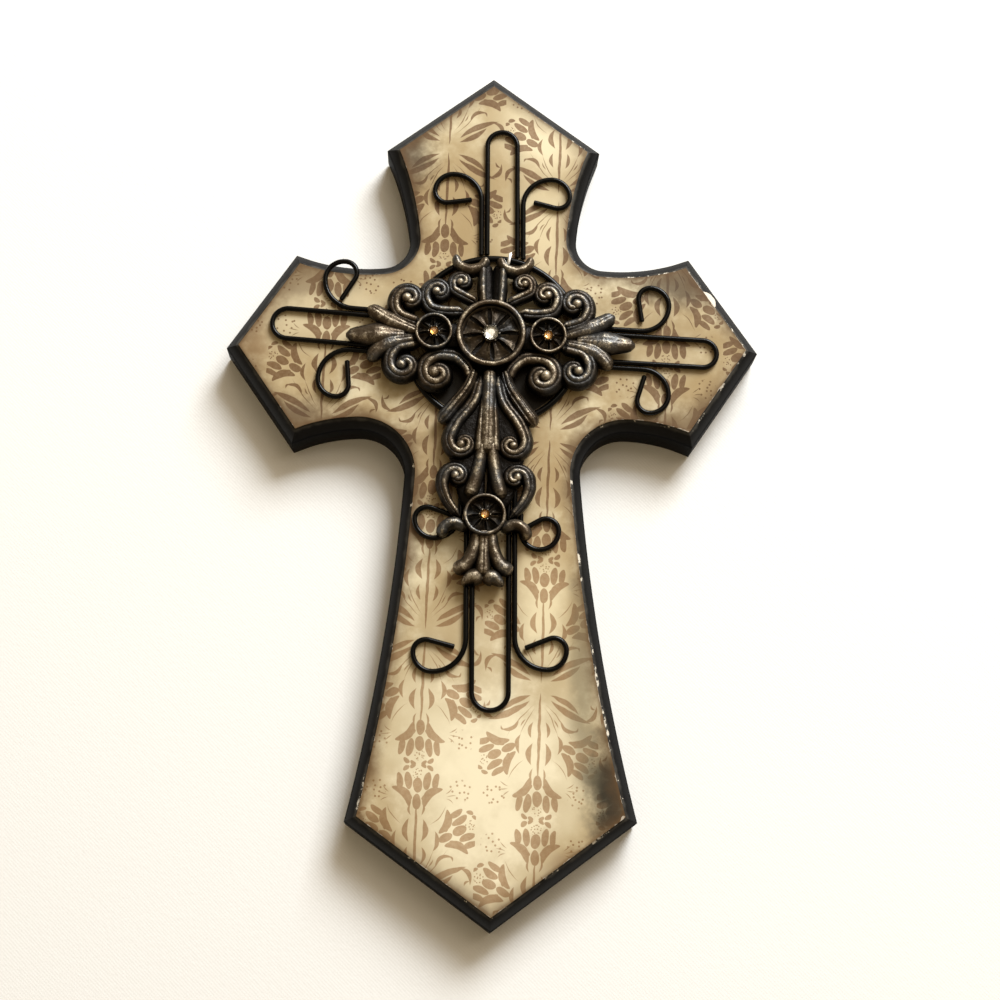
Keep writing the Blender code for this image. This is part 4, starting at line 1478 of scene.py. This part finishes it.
    def stone(self, rosette: Rosette, glass: Material, foil: Material) -> None:
        """Make a faceted stone: a flat table, two rows of crown facets and a foiled back."""
        bm = bmesh.new()
        radius = rosette.stone / 2
        foot = self.seat + self.stone_lift
        girdle = foot + radius * self.stone_rows[1][1]
        centre = Vector((rosette.centre[0], 0.0, rosette.centre[1]))
        face_on = Matrix.Rotation(math.pi / 2, 4, "X")
        section = bmesh.ops.create_circle(bm, cap_ends=True, radius=1.0, segments=self.stone_sides,
                                          matrix=face_on)
        places = []
        for wide, level, turn in self.stone_rows:
            spot = centre + Vector((0.0, -foot - radius * level, 0.0))
            twist = Matrix.Rotation(math.tau / self.stone_sides * turn, 4, "Y")
            places.append(Matrix.Translation(spot) @ twist @ Matrix.Scale(radius * wide, 4))
        sweep(bm, section["verts"][0].link_faces[0], places)
        walls = [item for item in bm.faces if len(item.verts) == 4]
        bmesh.ops.triangulate(bm, faces=walls)
        for item in bm.faces:
            behind = all(-corner.co.y < girdle + self.level_slack for corner in item.verts)
            item.material_index = 1 if behind else 0
        bmesh.ops.transform(bm, matrix=self.placing(), verts=bm.verts)
        slot = "clear_stone" if rosette.name == "clear" else "amber_stone"
        Maker.piece("cut_stone_" + rosette.name, bm, [glass, foil], slot, "stone_" + rosette.name,
                    sharp=math.radians(4))

    def build(self, paints: Paints) -> None:
        """Make the casting and its stones."""
        self.casting(paints.casting)
        for rosette in self.rosettes:
            clear = rosette.name == "clear"
            glass, foil = (paints.clear, paints.silver) if clear else (paints.amber, paints.gold)
            self.stone(rosette, glass, foil)


@dataclass
class Studio:
    """The pale wall behind, the lights and the camera."""

    wall_level: float = 0.0006
    wall_half: float = 2.5
    weave: float = 1.3
    cloth: Colour = (0.86, 0.86, 0.855)
    cloth_roughness: float = 0.9
    camera_spot: tuple[float, float, float] = (-0.01494, -0.68733, -0.21622)
    tilt: float = math.radians(13.5)
    swing: float = math.radians(1.5)
    roll: float = math.radians(0.193)
    lens: float = 72.0
    sensor: float = 36.0
    nearest: float = 0.01
    key_way: tuple[float, float, float] = (0.62, -1.0, 1.10)
    key_far: float = 1.9
    key_size: float = 0.85
    key_power: float = 54.0
    fill_way: tuple[float, float, float] = (0.5, -1.0, 0.8)
    fill_far: float = 2.2
    fill_size: float = 2.4
    fill_power: float = 22.0
    fill_colour: Colour = (1.0, 0.88, 0.72)
    key_colour: Colour = (0.935, 0.975, 1.0)
    air: Colour = (1.0, 0.78, 0.48)
    air_strength: float = 0.32

    def wall(self) -> None:
        """Hang a pale cloth wall just behind the board. It can't be seen from the back."""
        bench = Bench("pale_wall")
        spot = bench.place()
        across, up = (bench.dot(spot, way) * (math.tau / self.weave) for way in ((1, 0, 0), (0, 0, 1)))
        thread = across.math("SINE") * up.math("SINE") * 0.2 + bench.noise(spot, 1.4, 3.0)
        shader = bench.node("ShaderNodeBsdfPrincipled", None, {
            "Base Color": (*self.cloth, 1.0), "Roughness": self.cloth_roughness,
            "Normal": bench.bump(thread, 0.10, 0.6)})
        clear = bench.node("ShaderNodeBsdfTransparent")
        sides = bench.node("ShaderNodeNewGeometry")
        shown = bench.node("ShaderNodeMixShader", None, {
            0: sides.outputs["Backfacing"], 1: shader.outputs[0], 2: clear.outputs[0]})
        bench.node("ShaderNodeOutputMaterial", None, {"Surface": shown.outputs[0]})
        bm = bmesh.new()
        turned = Matrix.Translation((0.0, self.wall_level, 0.0)) @ Matrix.Rotation(math.pi / 2, 4, "X")
        bmesh.ops.create_grid(bm, x_segments=1, y_segments=1, size=self.wall_half, matrix=turned)
        mesh = bpy.data.meshes.new("wall")
        bm.to_mesh(mesh)
        bm.free()
        mesh.materials.append(bench.material)
        wall = bpy.data.objects.new("wall", mesh)
        bpy.context.scene.collection.objects.link(wall)

    @staticmethod
    def lamp(name: str, way: Sequence[float], far: float, size: float, power: float,
             colour: Colour) -> None:
        """Add a square soft light that shines on the cross from a direction."""
        light = bpy.data.lights.new(name, "AREA")
        light.energy = power
        light.size = size
        light.color = colour
        made = bpy.data.objects.new(name, light)
        spot = Vector(way).normalized() * far
        made.location = spot
        made.rotation_euler = (-spot).to_track_quat("-Z", "Y").to_euler()
        bpy.context.scene.collection.objects.link(made)

    def air_light(self) -> None:
        """Fill the room with soft pale light."""
        world = bpy.data.worlds.new("pale_room")
        world.use_nodes = True
        shade = world.node_tree.nodes["Background"]
        shade.inputs["Color"].default_value = (*self.air, 1.0)
        shade.inputs["Strength"].default_value = self.air_strength
        bpy.context.scene.world = world

    def camera(self) -> None:
        """Set the camera where the photograph was taken."""
        sine, cosine = math.sin(self.swing), math.cos(self.swing)
        right = Vector((cosine, -sine, 0.0))
        ahead = Vector((sine * math.cos(self.tilt), cosine * math.cos(self.tilt), math.sin(self.tilt)))
        up = right.cross(ahead)
        right, up = (right * math.cos(self.roll) + up * math.sin(self.roll),
                     up * math.cos(self.roll) - right * math.sin(self.roll))
        data = bpy.data.cameras.new("photograph")
        data.lens = self.lens
        data.sensor_width = self.sensor
        data.clip_start = self.nearest
        made = bpy.data.objects.new("photograph", data)
        axes = Matrix((right, up, -ahead)).transposed().to_4x4()
        made.matrix_world = Matrix.Translation(self.camera_spot) @ axes
        bpy.context.scene.collection.objects.link(made)
        bpy.context.scene.camera = made

    def build(self) -> None:
        """Set the stage."""
        bpy.context.scene.view_settings.view_transform = "Standard"
        self.wall()
        self.air_light()
        self.lamp("key", self.key_way, self.key_far, self.key_size, self.key_power, self.key_colour)
        self.lamp("fill", self.fill_way, self.fill_far, self.fill_size, self.fill_power, self.fill_colour)
        self.camera()


def main() -> None:
    """Build the cross and set the stage."""
    logging.basicConfig(level=logging.INFO, format="%(name)s: %(message)s")
    paints = Paints()
    wires = WireFrame()
    Board().build(paints)
    wires.build(paints)
    Staple(wires).build(paints)
    Ornament().build(paints)
    Studio().build()


if __name__ == "__main__":
    main()
